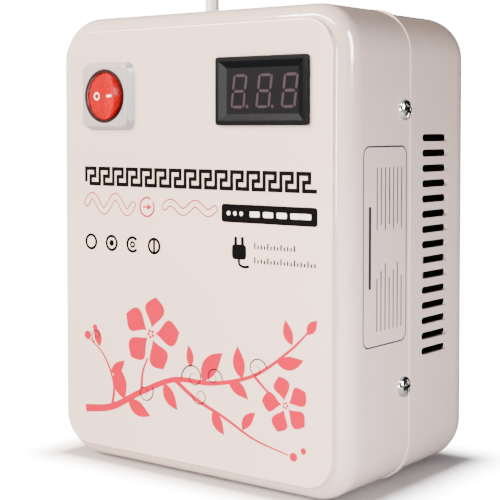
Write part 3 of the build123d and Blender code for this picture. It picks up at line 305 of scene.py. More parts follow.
def box_distance(tree, low, high, edge):
    """A node with the distance of a point from a box with low and high corners that is shrunk by edge:
    length(max(|p - middle| - half + edge, 0)), all in metres."""
    inner = (high - low) / 2 - edge
    place = add(tree, "ShaderNodeTexCoord").outputs["Object"]
    centred = add(tree, "ShaderNodeVectorMath", {
        0: place, 1: tuple((low + high) / 2)}, operation="SUBTRACT")
    folded = add(tree, "ShaderNodeVectorMath", {0: centred.outputs[0]}, operation="ABSOLUTE")
    outside = add(tree, "ShaderNodeVectorMath", {
        0: folded.outputs[0], 1: tuple(inner)}, operation="SUBTRACT")
    clipped = add(tree, "ShaderNodeVectorMath", {
        0: outside.outputs[0], 1: (0, 0, 0)}, operation="MAXIMUM")
    return add(tree, "ShaderNodeVectorMath", {0: clipped.outputs[0]}, operation="LENGTH")


def shade_inside(material, low, high, edge, depth, dark, spared=None):
    """Paints shade on a shell's inner faces as a dark colour: the points deeper than depth below the skin
    of a round-edged box. Those within a radius of a line along y, spared = (x, z, radius), keep their
    colour."""
    tree = material.node_tree
    shader = tree.nodes["Principled BSDF"]
    reach = box_distance(tree, np.asarray(low) * MM, np.asarray(high) * MM, edge * MM)
    within = add(tree, "ShaderNodeMath", {
        0: reach.outputs["Value"], 1: (edge - depth) * MM}, operation="LESS_THAN")
    if spared:
        flat = add(tree, "ShaderNodeVectorMath", {
            0: add(tree, "ShaderNodeTexCoord").outputs["Object"], 1: (1, 0, 1)}, operation="MULTIPLY")
        aside = add(tree, "ShaderNodeVectorMath", {
            0: flat.outputs[0], 1: (spared[0] * MM, 0, spared[1] * MM)}, operation="DISTANCE")
        beyond = add(tree, "ShaderNodeMath", {
            0: aside.outputs["Value"], 1: spared[2] * MM}, operation="GREATER_THAN")
        within = add(tree, "ShaderNodeMath", {
            0: within.outputs[0], 1: beyond.outputs[0]}, operation="MULTIPLY")
    skin = shader.inputs["Base Color"].links[0].from_socket
    # The painted shade: the skin's colour is mixed over to the dark one on the inner faces
    tint = add(tree, "ShaderNodeMix", {
        0: within.outputs[0], 6: skin, 7: linear(dark)}, data_type="RGBA")
    tree.links.new(tint.outputs[2], shader.inputs["Base Color"])


# ABS injection-moulded in a polished mould: warm cream, mirror-like at its edges, with the faint
# orange peel of a thick wall and hardly any change of tone.
cream_front = surface("abs_polished_mould_front", "#EFD7C9", "#EAD1C4", 60, 2.5, 0.002, 0.1, 0.015,
                      ior=1.53, coat_weight=0.5, coat_roughness=0.04)
cream_rear = surface("abs_polished_mould_rear", "#EDD6C7", "#E8D0C2", 60, 2.5, 0.002, 0.1, 0.015,
                     ior=1.53, coat_weight=0.5, coat_roughness=0.04)
# ABS moulded in a blasted mould: a cooler light grey with a soft sheen.
grey_abs = surface("abs_blasted_mould_grey", "#AAA7A9", "#A29FA1", 20, 0.5, 0.004, 0.3, 0.04,
                   ior=1.53)
# Clear red polycarbonate over a white core: it glows where light goes in, and its skin is polished.
red_polycarbonate = surface("polycarbonate_polished_red", "#AC0008", "#990006", 8, 1.2, 0.002, 0.27, 0.03,
                            specular_ior_level=0.06, subsurface_weight=0.8, subsurface_scale=0.006)
# The same red, darkened as painted shade for the switch's opening.
gap_painted_shade = surface("polycarbonate_painted_shade_maroon", "#2C0607", "#1E0405", 4, 0.6, 0.002, 0.4,
                     specular_ior_level=0.1)
# Pad-printed white ink: even, with a soft sheen.
white_ink = surface("pad_printed_ink_white", "#FBF6F2", "#F2E8E4", 2, 0.4, 0.002, 0.4)
# Glass-filled ABS in a spark-eroded mould: near-black, with a grain that glitters on the bevel.
black_sparked = surface("abs_spark_eroded_black", "#070B0D", "#030608", 6, 0.22, 0.006, 0.32, 0.08,
                        specular_ior_level=0.06)
# Smoked acrylic, cast and polished.
smoked_acrylic = surface("acrylic_cast_smoked", "#0C0A0D", "#080709", 12, 4, 0.001, 0.1, 0.02,
                         specular_ior_level=0.35)
# Unlit epoxy segments seen through the smoke: a dull mauve grey.
segment_epoxy = surface("epoxy_segment_unlit", "#30242D", "#281E26", 3, 0.5, 0.002, 0.35,
                        specular_ior_level=0.15)
# Screen-printed inks: even, thin, a little rougher than the plastic they lie on.
ink_black = surface("screen_printed_ink_black", "#030304", "#050506", 5, 0.6, 0.003, 0.45,
                    specular_ior_level=0.03)
ink_red = surface("screen_printed_ink_red", "#A80C14", "#9E0A11", 5, 0.6, 0.003, 0.34,
                  specular_ior_level=0.3)
ink_salmon = surface("screen_printed_ink_salmon", "#BE0032", "#B4002E", 9, 0.6, 0.003, 0.34,
                     specular_ior_level=0.08)
ink_wine = surface("screen_printed_ink_wine", "#3A0E18", "#300B13", 5, 0.6, 0.003, 0.36,
                   specular_ior_level=0.25)
ink_grey = surface("screen_printed_ink_grey", "#0C0C0E", "#121214", 5, 0.6, 0.003, 0.36,
                   specular_ior_level=0.2)
# Steel, plated with bright chrome over nickel: near-perfect mirror with fine handling marks.
chrome = surface("steel_chrome_plated", "#E9E9EB", "#DADCDF", 1.5, 0.5, 0.0005, 0.04, 0.02,
                 metallic=1.0)
# The same steel inside the screws' recesses: dark for its thin plating, with painted shade where hardly any
# light gets.
steel_shade = surface("steel_thin_plated_painted_shade", "#0C0D0E", "#060607", 1, 0.3, 0.01, 0.5,
                      specular_ior_level=0.1)
# Steel, zinc-plated and passivated: dull silver with a yellowish bloom.
zinc = surface("steel_zinc_plated", "#BDBBB0", "#9FA1A0", 3, 0.4, 0.006, 0.36, 0.08, metallic=1.0)
# Brass, stamped: warm, with rolling marks.
brass = surface("brass_stamped", "#D9B25E", "#C39A48", 2, 0.3, 0.004, 0.28, 0.08, metallic=1.0)
# Nitrile rubber, moulded: matt, very dark, faintly dusty.
rubber = surface("nitrile_rubber_moulded", "#2C2B2A", "#373533", 4, 0.35, 0.02, 0.75, 0.08)
# Phenolic resin, pressed: black with a brown cast and a dull shine.
phenolic = surface("phenolic_pressed_black", "#191817", "#24201E", 5, 0.5, 0.006, 0.38, 0.06, ior=1.6)
# Polycarbonate, moulded off-white for the outlets.
outlet_white = surface("polycarbonate_moulded_white", "#F4F1EC", "#EEEAE3", 15, 0.8, 0.003, 0.26, 0.03,
                       ior=1.58)
# Polyamide, natural.
polyamide = surface("polyamide_moulded_natural", "#E2DCCB", "#D6CFBC", 6, 0.5, 0.005, 0.42)
# Glass-fibre laminate with solder mask: green, with the weave just showing.
laminate = surface("glass_fibre_laminate_masked", "#2F6B43", "#275C39", 2, 0.5, 0.01, 0.35)
# Potted display block.
potting = surface("epoxy_potted_grey", "#4A4448", "#3C373B", 5, 0.7, 0.004, 0.4)
# Grain-oriented electrical steel strip, wound: grey-blue, seen on edge.
core_steel = surface("electrical_steel_strip_wound", "#8F9498", "#74797E", 2, 0.3, 0.01, 0.4, 0.08,
                     metallic=1.0)
# PVC, extruded over wire: dark, soft, with a dull sheen.
lead_pvc = surface("pvc_extruded_lead_dark", "#3B3B40", "#323236", 5, 0.6, 0.006, 0.45)
# Polyamide hook tape, woven: matt, dark grey, with the loops as a coarse grain.
hook_tape = surface("polyamide_hook_tape_woven", "#2B2C2F", "#1F2022", 2.5, 0.45, 0.12, 0.85, 0.05)
# Polyester tape lapped over enamelled wire: pale, with the turns pressing through.
tape = surface("polyester_tape_lapped", "#D9D6D0", "#C4C0B9", 6, 3.0, 0.25, 0.38, 0.08, ior=1.6)
# PVC, extruded or moulded in white: soft, waxy and slightly mottled.
white_pvc = surface("pvc_extruded_white", "#F1EFEC", "#E7E4E0", 12, 0.9, 0.01, 0.38, 0.05, ior=1.53)

# Hardly any light gets into the case, so its covers' inner faces get a painted shade. The recess of the
# centre bolt lies deeper than their skin too, but it is open to the room, so it keeps its colour.
CASE_EDGE, SKIN_DEPTH, INSIDE_PAINTED_SHADE = 17, 1.7, "#171616"
OPEN_END = 60  # how far a cover's box is carried on at the end where the cover is open
RECESS_RADIUS = 13
bolt_x, _, bolt_z = (washer_low + washer_high) / 2
shade_inside(cream_front, cover_low + (BEAD, 0, BEAD), cover_high + (-BEAD, OPEN_END, -BEAD),
             CASE_EDGE, SKIN_DEPTH, INSIDE_PAINTED_SHADE)
shade_inside(cream_rear, rear_low - (0, OPEN_END, 0), rear_high,
             CASE_EDGE, SKIN_DEPTH, INSIDE_PAINTED_SHADE, (bolt_x, bolt_z, RECESS_RADIUS))

finishes = {
    "front_cover": cream_front, "rear_cover": cream_rear, "cover_screws": chrome,
    "rubber_feet": rubber, "switch_housing": grey_abs, "rocker": red_polycarbonate,
    "switch_terminals": brass, "meter_bezel": black_sparked, "meter_window": smoked_acrylic,
    "meter_display": potting, "meter_board": laminate, "transformer_winding": tape,
    "transformer_core": core_steel, "rear_pad": rubber, "front_pad": rubber,
    "dished_washer": zinc, "centre_bolt": zinc, "centre_nut": zinc, "thermal_cutout": phenolic,
    "outlet_inner": outlet_white, "outlet_outer": outlet_white, "outlet_contacts": brass,
    "breaker_body": phenolic, "breaker_nut": zinc, "breaker_terminals": brass,
    "reset_button": phenolic, "terminal_block": polyamide, "block_screws": zinc,
    "cord_bushing": white_pvc, "cord_run": white_pvc, "cord_coil": white_pvc,
    "plug_body": white_pvc, "plug_pins": brass, "inner_leads": lead_pvc,
}
for name, material in finishes.items():
    nodes[name].data.materials.clear()
    nodes[name].data.materials.append(material)

# Camera: the photograph's own, solved from the case's edges. Its focal length and the row that its axis
# meets are in the photograph's pixels.
PICTURE_SIZE, FOCAL_LENGTH, AXIS_ROW = 500, 1266.04, 177.05
SENSOR = 36.0
YAW, PITCH = math.radians(37.44), math.radians(2.19)
CAMERA_X, BEFORE_PANEL, ABOVE_REST = 356.8, 421.6, 154.0
camera_data = bpy.data.cameras.new("camera")
camera_data.sensor_width = SENSOR
camera_data.lens = FOCAL_LENGTH / PICTURE_SIZE * SENSOR
camera_data.shift_y = (AXIS_ROW - PICTURE_SIZE / 2) / PICTURE_SIZE
camera = bpy.data.objects.new("camera", camera_data)
bpy.context.scene.collection.objects.link(camera)
bpy.context.scene.camera = camera
right = Vector((math.cos(YAW), math.sin(YAW), 0))
ahead = Vector((-math.sin(YAW) * math.cos(PITCH), math.cos(YAW) * math.cos(PITCH), -math.sin(PITCH)))
turned = Matrix((right, right.cross(ahead), -ahead)).transposed().to_4x4()
stand = Vector((CAMERA_X, panel_y - BEFORE_PANEL, rest_z + ABOVE_REST)) * MM
camera.matrix_world = Matrix.Translation(stand) @ turned
camera_data.clip_start, camera_data.clip_end = 0.01, 100.0

# Mains cord: up out of the bushing, over and down behind the case, along the floor and into its coil.
# The coil's lower layer winds inwards in half circles, the innermost one climbs to the upper layer, and
# that winds outwards again.
CORD_RADIUS = 3.2
COIL_GAP = 0.5
HALF_TURNS = 11
INNER_RADIUS = 26.0
POINTS_PER_HALF_TURN = 8
route = [
    (-43.0, 15.854, 212.0), (-43.0, 15.9, 254.0), (-66.0, 44.1, 275.5), (-88.8, 72.0, 253.0),
    (-92.5, 73.5, 184.0), (-91.0, 69.5, 118.0), (-92.0, 68.5, 66.0), (-88.0, 67.2, 31.0),
    (-62.0, 67.0, CORD_RADIUS), (-30.0, 67.0, CORD_RADIUS),
]
pitch = 2 * CORD_RADIUS + COIL_GAP
turning = np.array([route[-1][0] + 2 * CORD_RADIUS, route[-1][1]])
height = CORD_RADIUS
half_step = np.pi / POINTS_PER_HALF_TURN / 2
for index in range(HALF_TURNS):
    radius = INNER_RADIUS + pitch / 2 * abs(index - HALF_TURNS // 2)
    way = 1 - 2 * (index % 2)
    climb = pitch if index == HALF_TURNS // 2 else 0.0
    middle = turning + (0, way * radius)
    share = (np.arange(POINTS_PER_HALF_TURN) + 0.5) / POINTS_PER_HALF_TURN
    spin = np.pi * share - np.pi / 2
    reach = radius / math.cos(half_step)  # the curve touches the lines between its points, inside them
    route += zip(
        middle[0] + way * reach * np.cos(spin), middle[1] + way * reach * np.sin(spin),
        height + climb * share,
    )
    turning = middle + (0, way * radius)
    height += climb
route.append((turning[0] - 2 * CORD_RADIUS, turning[1], height))
cord_curve = bpy.data.curves.new("mains_cord", "CURVE")
cord_curve.dimensions = "3D"
cord_curve.bevel_depth = CORD_RADIUS * MM
cord_curve.bevel_resolution = 5
cord_curve.resolution_u = 8
cord_curve.use_fill_caps = True
spline = cord_curve.splines.new("NURBS")
spline.points.add(len(route) - 1)
for point, place in zip(spline.points, route):
    point.co = (*(float(value) * MM for value in place), 1.0)
spline.order_u = 3
spline.use_endpoint_u = True
cord_curve.materials.append(white_pvc)
mains_cord = bpy.data.objects.new("mains_cord", cord_curve)
bpy.context.scene.collection.objects.link(mains_cord)
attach(mains_cord, "case")
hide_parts("cord_run", "cord_coil")

# Tie: a hook tape wrapped round the coil's side. Its way round is a round-cornered box in the x-z plane,
# and its own section a flat bar, bevelled on its outer side.
TIE_Y = 110.25
TIE_LOW, TIE_HIGH, TIE_BEND = (2.2, 0.1), (23.3, 14.1), 5.0
TIE_WIDTH, TIE_THICK, TIE_BEVEL = 13.0, 1.0, 0.35
half, flat = TIE_WIDTH / 2, TIE_WIDTH / 2 - TIE_BEVEL
section = [
    (-flat, 0), (0, 0), (flat, 0), (half, TIE_BEVEL), (half, TIE_THICK), (-half, TIE_THICK),
    (-half, TIE_BEVEL), (-flat, 0),
]
around, _ = round_box(TIE_LOW, TIE_HIGH, TIE_BEND, 13)
_, inward = headings(around, closed=True)
points = np.stack([upright(around + depth * inward, TIE_Y + shift) for shift, depth in section], axis=1)
cord_tie = piece(
    "cord_tie", points.reshape(-1, 3), grid_faces(len(around), len(section), closed=True), hook_tape)

# Winding: tape lapped round the ring. Its section is a round-cornered box, and along the ring the
# surface is sunk by LAP_STEP * (1 - f), where f runs from 0 to 1 over each lap and then drops back.
# A lap moves on by one lap's width each time it goes round the section, so the laps lean.
LAPS, LAP_STEP, RING_EDGE = 46, 0.3, 9.0
BORE_SHARE = 13 / 34  # the bore's radius over the ring's
lap_share = np.array([0.0, 0.04, 0.25, 0.5, 0.75, 0.96])
rise = np.clip((lap_share - lap_share[1]) / (lap_share[-1] - lap_share[1]), 0, 1)
ring_x, _, ring_z = (wound_low + wound_high) / 2
ring_reach = (wound_high[0] - wound_low[0]) / 2
section, outward = round_box(
    (ring_reach * BORE_SHARE, wound_low[1]), (ring_reach, wound_high[1]), RING_EDGE, 11)
round_share = np.arange(len(section)) / len(section)
lap_place = np.arange(LAPS)[:, None, None] + lap_share[None, :, None] + round_share[None, None, :]
spin = 2 * np.pi * lap_place / LAPS
sunk = section - LAP_STEP * (1 - rise)[:, None, None] * outward
reach, depth = sunk[..., 0], np.broadcast_to(sunk[..., 1], spin.shape)
points = np.stack([ring_x + reach * np.cos(spin), depth, ring_z + reach * np.sin(spin)], axis=-1)
rows, columns = LAPS * len(lap_share), len(section)
row, column = np.arange(rows)[:, None], np.arange(columns)[None, :]
next_column = (column + 1) % columns
# The last column joins the first one, one lap further on
ahead_row = (row + np.where(next_column == 0, len(lap_share), 0)) % rows
faces = np.stack([
    row * columns + column, ahead_row * columns + next_column,
    (ahead_row + 1) % rows * columns + next_column, (row + 1) % rows * columns + column,
], axis=-1).reshape(-1, 4)
lapped_winding = piece("lapped_winding", points.reshape(-1, 3), faces, tape)
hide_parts("transformer_winding")

# Side screws: a pan head with a cross recess. The head's height over its face is
# H * (1 - r^3)^(1/2), less a cross whose arms are sunk along their middle and end in a slope. A dark
# flat cross lies in the recess, a little below the crown: the unplated steel there, with painted shade.
SCREW_RADIUS = 4.25  # the solids' heads
HEAD_RADIUS, HEAD_HEIGHT = 4.7, 2.4
CROSS_DEPTH, CROSS_HALF_WIDTH, CROSS_REACH = 1.9, 0.85, 3.1
WALL_SLOPE, END_SLOPE = 0.2, 0.5  # how wide the cross's walls are, seen from outside
SHADE_HEIGHT, SHADE_HALF_WIDTH, SHADE_REACH = 1.95, 0.66, 2.6
HEAD_RINGS, HEAD_SPOKES = 44, 97
r = np.linspace(1, 0, HEAD_RINGS)[:, None]
spin = np.linspace(0, 2 * np.pi, HEAD_SPOKES)[None, :]
u, v = HEAD_RADIUS * r * np.cos(spin), HEAD_RADIUS * r * np.sin(spin)
arm = np.minimum(np.abs(u), np.abs(v))
along = np.maximum(np.abs(u), np.abs(v))
sunk = np.clip((CROSS_HALF_WIDTH - arm) / WALL_SLOPE, 0, 1)
sunk = sunk * np.clip((CROSS_REACH - along) / END_SLOPE, 0, 1)
rise = HEAD_HEIGHT * np.sqrt(1 - r**3) - CROSS_DEPTH * sunk
screw_y = (screws_low[1] + screws_high[1]) / 2
heads, recesses = [], []
for side in (-1, 1):
    for z in (screws_low[2] + SCREW_RADIUS, screws_high[2] - SCREW_RADIUS):
        lean = 0.5 + 0.9 * side + z / 150  # each screw stopped at its own angle
        across = u * math.cos(lean) - v * math.sin(lean)
        up = u * math.sin(lean) + v * math.cos(lean)
        points = np.stack([side * (side_x + rise), screw_y + side * across, z + up], axis=-1)
        heads.append((points.reshape(-1, 3), grid_faces(HEAD_RINGS, HEAD_SPOKES)))
        for turn in (lean, lean + math.pi / 2):
            reach = SHADE_REACH * np.array([math.cos(turn), math.sin(turn)])
            points, faces = stroke([-reach, reach], SHADE_HALF_WIDTH)
            x = np.full(len(points), side * (side_x + SHADE_HEIGHT))
            recesses.append((np.stack([x, screw_y + side * points[:, 0], z + points[:, 1]], axis=1), faces))
# The recesses' dark crosses: unplated steel with painted shade
screw_recess_shade = piece("screw_recess_shade", *gather(recesses), steel_shade)
screw_heads = piece("screw_heads", *gather(heads), chrome)
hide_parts("cover_screws")

# Marks on the rocker: a ring on its left half and a bar on its right half. Its face falls to the crease
# in the middle from both sides, and the whole is tilted about its pivot.
SLOPE = math.radians(12)
TILT = math.radians(12)
CREASE = 1.4
PIVOT_DEPTH = 2.0
MARK_PLACE = 5.0
switch_x, _, switch_z = (switch_low + switch_high) / 2
pivot = np.array([switch_x, plate_y + PIVOT_DEPTH, switch_z])
mark_shapes = []
for half, (points, faces) in ((-1, ring((0, 0), 1.5, 0.36)), (1, bar((-2.9, 0), (2.9, 0), 1.1, 0.2))):
    along = half * MARK_PLACE + points[:, 0]
    level_x = along * math.cos(SLOPE)
    level_y = -CREASE - LIFT - np.abs(along) * math.sin(SLOPE)
    x = level_x * math.cos(TILT) + level_y * math.sin(TILT)
    y = -level_x * math.sin(TILT) + level_y * math.cos(TILT)
    mark_shapes.append((pivot + np.stack([x, y, points[:, 1]], axis=1), faces))
rocker_marks = piece("rocker_marks", *gather(mark_shapes), white_ink, body="rocker")

# A dark ring on the plate round the rocker: painted shade for the gap between them
points, faces = ring((0, 0), 11.5, 0.75)
# Painted shade: a flat dark ring lying just in front of the plate
rocker_gap_painted_shade = piece("rocker_gap_painted_shade", upright(points + (switch_x, switch_z), plate_y - LIFT), faces, gap_painted_shade)

# Three unlit seven-segment digits behind the window, with their points. A segment is pointed at its
# ends: it has its full width between the second and the third of the places in TAPER_AT.
DIGIT_LEFTS, DIGIT_LOW = (24.4, 37.6, 50.7), 163.4
DIGIT_WIDTH, DIGIT_HEIGHT, SEGMENT, LEAN = 6.3, 14.6, 1.2, 0.125
DIGIT_LIFT = 0.04  # over the window
TAPER_AT, TAPER = np.array([0.0, 0.12, 0.88, 1.0])[:, None], np.array([0.06, 1, 1, 0.06])
middle, top = DIGIT_LOW + DIGIT_HEIGHT / 2, DIGIT_LOW + DIGIT_HEIGHT
bars = [((0.45, z), (DIGIT_WIDTH - 0.45, z)) for z in (DIGIT_LOW + 0.7, middle, top - 0.7)]
bars += [
    ((x, z + 0.5), (x, z + DIGIT_HEIGHT / 2 - 0.5)) for x in (0.0, DIGIT_WIDTH) for z in (DIGIT_LOW, middle)
]
segments = []
for left in DIGIT_LEFTS:
    for start, end in bars:
        line = np.array([start]) * (1 - TAPER_AT) + np.array([end]) * TAPER_AT
        line[:, 0] += left + LEAN * (line[:, 1] - DIGIT_LOW)
        segments.append(stroke(line, TAPER * SEGMENT / 2))
    if left != DIGIT_LEFTS[-1]:
        segments.append(dot((left + DIGIT_WIDTH + 2.0, DIGIT_LOW + 0.8), 0.75))
points, faces = gather(segments)
digits = piece("digit_segments", upright(points, window_y - DIGIT_LIFT), faces, segment_epoxy)

# Prints on the front: a key band, waves, a tag and small plain figures, in rows at these heights
KEY_Z, WAVE_Z, ARROW_Z, TAG_Z, FIGURE_Z = (rest_z + up for up in (132.1, 119.5, 118.9, 118.1, 101.6))
FIGURE_RADIUS, FIGURE_LINE = 3.2, 0.6
dark = key_band((-62.0, KEY_Z), 15, 8.62, 8.8, 1.75)
dark.append(bar((18.8, TAG_Z), (68.4, TAG_Z), 7.8, 1.3))
# The ring figures: a plain one, one with a dot, an open one with a small ring and one with a bar
places = [(x, FIGURE_Z) for x in (-58.9, -45.9, -32.9, -19.9)]
dark.append(ring(places[0], FIGURE_RADIUS, FIGURE_LINE))
dark += [ring(places[1], FIGURE_RADIUS, FIGURE_LINE), dot(places[1], 1.4)]
dark += [ring(places[2], FIGURE_RADIUS, FIGURE_LINE, 40, 320), ring(places[2], 1.1, 0.45)]
dark += [
    ring(places[3], FIGURE_RADIUS, FIGURE_LINE),
    stroke([(-19.9, FIGURE_Z - 2.6), (-19.9, FIGURE_Z + 2.6)], FIGURE_LINE),
]
# The plug figure: its body, its two pins and its lead
dark.append(bar((24.4, rest_z + 101.8), (32.0, rest_z + 101.8), 6.4, 1.6))
dark += [stroke([(x, rest_z + 105.0), (x, rest_z + 108.2)], 0.75) for x in (26.4, 30.0)]
lead = np.array([(28.2, 98.6), (28.4, 96.6), (30.6, 95.6), (33.6, 95.9)]) + (0, rest_z)
dark.append(stroke(curve_through(lead), 0.55))
# Two rows of ticks
for start, end, z in ((36.6, 57.2, rest_z + 103.5), (36.6, 68.6, rest_z + 97.5)):
    for count, x in enumerate(np.arange(start, end, 1.7)):
        tall = (2.6, 1.5, 1.9, 1.5)[count % 4]
        dark.append(stroke([(x, z), (x, z + tall)], 0.32))
dark_print = piece("dark_print", *on_front(dark), ink_black)

WAVE_POINTS = 160
t = np.linspace(0, 1, WAVE_POINTS)
red = [
    outlined(np.stack([left + width * t, WAVE_Z + swing * np.sin(4 * np.pi * t)], axis=1), 1.5, 0.27)
    for left, width, swing in ((-61.8, 29.2, 3.4), (-13.6, 28.4, 1.9))
]
red += [
    ring((-24.1, ARROW_Z), 4.2, 0.42, 60, 395),
    stroke([(-26.6, ARROW_Z), (-23.9, ARROW_Z)], 0.36),
    stroke([(-23.9, ARROW_Z), (-21.4, ARROW_Z)], [1.5, 0.02]),
]
red_print = piece("red_print", *on_front(red), ink_red)

TAG_LIFT = 0.5  # over the dark print
tag_marks = [dot((x, TAG_Z), 0.95) for x in (22.9, 26.3, 29.7)]
tag_marks += [bar((x, TAG_Z), (x + 5.2, TAG_Z), 2.4, 0.6) for x in (34.2, 41.2, 48.2, 55.2, 60.4)]
tag_print = piece("tag_print", *on_front(tag_marks, TAG_LIFT), white_ink)

# A branch with two round blossoms, leaves in pairs, buds and fine tendrils
stems = [
    vine([(-63, 24), (-46, 27), (-28, 36), (-8, 44), (14, 45), (36, 51), (54, 63), (66, 74)], 3.6, 0.8),
    vine([(-46, 27), (-45, 38), (-51, 50), (-60, 57)], 1.7, 0.6),
    vine([(-8, 44), (4, 37), (20, 31), (36, 24), (54, 20)], 2.2, 0.6),
    vine([(-28, 36), (-27, 45), (-24, 52)], 1.7, 0.9),
    vine([(36, 51), (42, 46), (47, 43)], 1.4, 0.8),
]
leaves = [
    leaf(root, angle, length, width, bend)
    for root, angle, length, width, bend in (
        ((-38, 31.5), 122, 17, 8.0, -34), ((-36, 32), -40, 15, 6.6, 30), ((-14, 42), -72, 14, 6.2, 32),
        ((8, 45), 68, 18, 8.0, -34), ((22, 47), -16, 13, 5.6, -30), ((30, 49), 114, 14, 6.4, -26),
        ((48, 58), -6, 14, 5.8, 30), ((56, 66), 124, 11, 4.8, -30), ((14, 33.5), -74, 12, 5.4, 30),
        ((30, 27), 68, 11, 4.8, -34), ((-47, 43), 20, 11, 4.8, 30), ((-54, 54), 96, 10, 4.6, 26),
        ((63.5, 71), 58, 8, 4.4, -10), ((1, 50.5), 86, 10, 4.0, 20),
    )
]
PETALS, PETAL_TURN = 5, 72
blossoms = []
for centre, reach, turned in (((-22.0, 63.0), 14.5, 8), ((52.5, 40.5), 10.5, 34)):
    for petal in range(PETALS):
        heading = np.radians(turned + PETAL_TURN * petal)
        root = np.asarray(centre) + 0.17 * reach * np.array([math.cos(heading), math.sin(heading)])
        blossoms.append(leaf(root, turned + PETAL_TURN * petal - 6, reach, 0.8 * reach, 12, belly=0.62))
    # The stamens stand between the petals
    for spin in np.radians(turned + PETAL_TURN / 2 + PETAL_TURN * np.arange(PETALS)):
        place = np.asarray(centre) + 0.1 * reach * np.array([math.cos(spin), math.sin(spin)])
        blossoms.append(dot(place, 0.05 * reach))
buds = [
    dot(place, radius)
    for place, radius in (
        ((-61.5, 58.6), 2.1), ((-56.8, 62.6), 1.5), ((56.6, 19.6), 1.9), ((61.6, 22.8), 1.4),
    )
]
flower_print = piece("flower_print", *on_front(stems + leaves + blossoms + buds), ink_salmon)
curls = [
    tendril((-4, 45.4), 96, 7.0, 1.35, 0.34, -1), tendril((19, 46.8), 82, 5.0, 1.3, 0.3, 1),
    tendril((-21, 39), -60, 5.4, 1.3, 0.3, -1), tendril((43, 54.8), 100, 5.6, 1.3, 0.3, 1),
    tendril((2, 38.2), -84, 4.8, 1.3, 0.28, 1), tendril((-57, 55.5), 160, 3.8, 1.2, 0.26, -1),
]
CURL_LIFT = 0.12  # over the flowers
curl_print = piece("curl_print", *on_front(curls, CURL_LIFT), ink_wine)

# A blank table on the right side: a round-cornered frame with ruled lines
front_edge, rear_edge = panel_y + 12.9, panel_y + 46.9
outline, _ = round_box((front_edge, rest_z + 64.0), (rear_edge, rest_z + 146.6), 4.0, QUARTER_POINTS)
table = [stroke(outline, 0.34, closed=True)]
table.append(stroke([(front_edge + 5.0, rest_z + 88), (front_edge + 5.0, rest_z + 122)], 0.9))
for count, y in enumerate(np.linspace(front_edge + 10.5, rear_edge - 4.0, 7)):
    for low, high in ((70, 92 + 3 * (count % 3)), (112 + 2 * (count % 2), 138)):
        table.append(stroke([(y, rest_z + low), (y, rest_z + high)], 0.38))
side_print = piece("side_print", *on_right(table), ink_grey)

# Floor: white paper. To the camera it carries a painted shadow, dark right at the case's foot, and
# turns brighter than white away from it. To all other rays it is an even grey.
WHITE_OUT = 18.0
FOOT_EDGE = 0.0037
SHADOW_END = 0.007
WHITE_START, WHITE_END = 0.003, 0.032
SHADOW_TONE, PAPER_TONE, BOUNCE_TONE = 0.12, 1.3, 0.42
FLOOR_REACH = 6
floor_material = bpy.data.materials.new("paper_sweep_white")
floor_material.use_nodes = True
tree = floor_material.node_tree
tree.nodes.clear()
seen = add(tree, "ShaderNodeLightPath").outputs["Is Camera Ray"]
away = box_distance(
    tree, np.array([-side_x, panel_y, -1]) * MM, np.array([side_x, rear_high[1], 1]) * MM, FOOT_EDGE)
# Painted shadow: to the camera the paper's tone falls to SHADOW_TONE at the case's foot
shade = add(tree, "ShaderNodeMapRange", {
    "Value": away.outputs["Value"], "From Min": 0.0, "From Max": SHADOW_END,
    "To Min": SHADOW_TONE, "To Max": PAPER_TONE}, interpolation_type="SMOOTHSTEP")
whiteness = add(tree, "ShaderNodeMix", {0: seen, 2: BOUNCE_TONE, 3: shade.outputs["Result"]})
paper = add(tree, "ShaderNodeBsdfDiffuse", {"Color": whiteness.outputs[0]})
# The glow is held back near the case's foot too, which deepens the painted shadow
far = add(tree, "ShaderNodeMapRange", {
    "Value": away.outputs["Value"], "From Min": WHITE_START, "From Max": WHITE_END,
    "To Min": 0.0, "To Max": WHITE_OUT}, interpolation_type="SMOOTHSTEP")
lift = add(tree, "ShaderNodeMath", {0: seen, 1: far.outputs["Result"]}, operation="MULTIPLY")
paper_glow = add(tree, "ShaderNodeEmission", {"Strength": lift.outputs[0]})
both = add(tree, "ShaderNodeAddShader", {0: paper.outputs["BSDF"], 1: paper_glow.outputs["Emission"]})
add(tree, "ShaderNodeOutputMaterial", {"Surface": both.outputs["Shader"]})
floor_mesh = bpy.data.meshes.new("floor")
floor_corners = [(x * FLOOR_REACH, y * FLOOR_REACH, 0) for x, y in ((-1, -1), (1, -1), (1, 1), (-1, 1))]
floor_mesh.from_pydata(floor_corners, [], [(0, 1, 2, 3)])
floor_mesh.materials.append(floor_material)
floor = bpy.data.objects.new("floor", floor_mesh)
bpy.context.scene.collection.objects.link(floor)

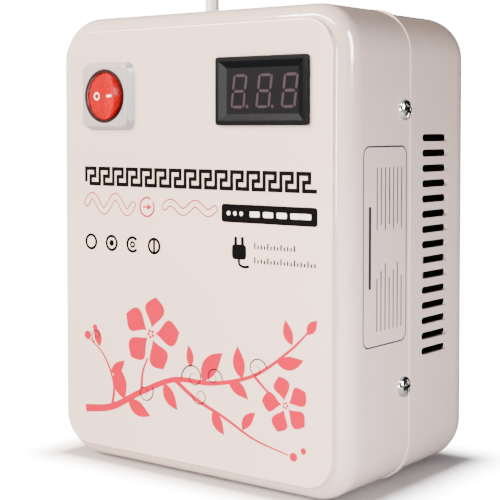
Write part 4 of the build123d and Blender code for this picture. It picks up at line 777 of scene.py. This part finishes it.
# Studio: bright overhead, towards the left and the front, and dim elsewhere. The camera sees it white.
BRIGHTEST_WAY = (-0.6, -0.45, 0.66)
world = bpy.data.worlds.new("studio")
bpy.context.scene.world = world
world.use_nodes = True
tree = world.node_tree
tree.nodes.clear()
seen = add(tree, "ShaderNodeLightPath").outputs["Is Camera Ray"]
toward = add(tree, "ShaderNodeVectorMath", {
    0: add(tree, "ShaderNodeTexCoord").outputs["Generated"], 1: BRIGHTEST_WAY}, operation="DOT_PRODUCT")
glow = add(tree, "ShaderNodeMapRange", {
    "Value": toward.outputs["Value"], "From Min": -0.1, "From Max": 1.0, "To Min": 0.02, "To Max": 1.1},
    interpolation_type="SMOOTHSTEP")
strength = add(tree, "ShaderNodeMix", {0: seen, 2: glow.outputs["Result"], 3: WHITE_OUT})
sky = add(tree, "ShaderNodeBackground", {
    "Color": (1.0, 0.99, 0.985, 1.0), "Strength": strength.outputs[0]})
add(tree, "ShaderNodeOutputWorld", {"Surface": sky.outputs["Background"]})


def softbox(name, place, aim, width, tall, power, colour="#FFFFFF", diffuse=True, glossy=True):
    """A rectangular area light at a place, aimed at a point, in metres and watts. Without diffuse it
    shows in reflections only, and without glossy it shows in none."""
    light = bpy.data.lights.new(name, "AREA")
    light.shape = "RECTANGLE"
    light.size, light.size_y = width, tall
    light.energy = power
    light.color = linear(colour)[:3]
    made = bpy.data.objects.new(name, light)
    bpy.context.scene.collection.objects.link(made)
    made.visible_diffuse, made.visible_glossy = diffuse, glossy
    made.location = place
    made.rotation_euler = (Vector(aim) - Vector(place)).to_track_quat("-Z", "Y").to_euler()


softbox("key_left", (-0.9, -1.5, 1.0), (0, 0, 0.1), 1.1, 1.1, 142, "#FFEBDD")
softbox("fill_camera", (0.73, -0.99, 0.22), (0.08, 0.02, 0.1), 0.28, 0.28, 4.5, "#FFF1EA", glossy=False)
softbox("bounce_right", (0.3, -0.2, 0.035), (0.08, -0.03, 0.02), 0.2, 0.05, 1.7, "#F3F0FF", glossy=False)
softbox("vent_glow", (0.0775, 0.047, 0.105), (0.064, 0.034, 0.105), 0.003, 0.13, 0.0007)
softbox("strip_top", (-0.2, -0.75, 1.3), (0, 0, 0.2), 1.3, 0.08, 40, diffuse=False)
softbox("strip_right", (1.27, -0.16, 0.72), (0.06, -0.04, 0.67), 0.3, 0.95, 70, diffuse=False)
softbox("bevel_left", (0.27, -1.05, 0.2), (0.03, -0.05, 0.17), 0.3, 0.3, 13, diffuse=False)
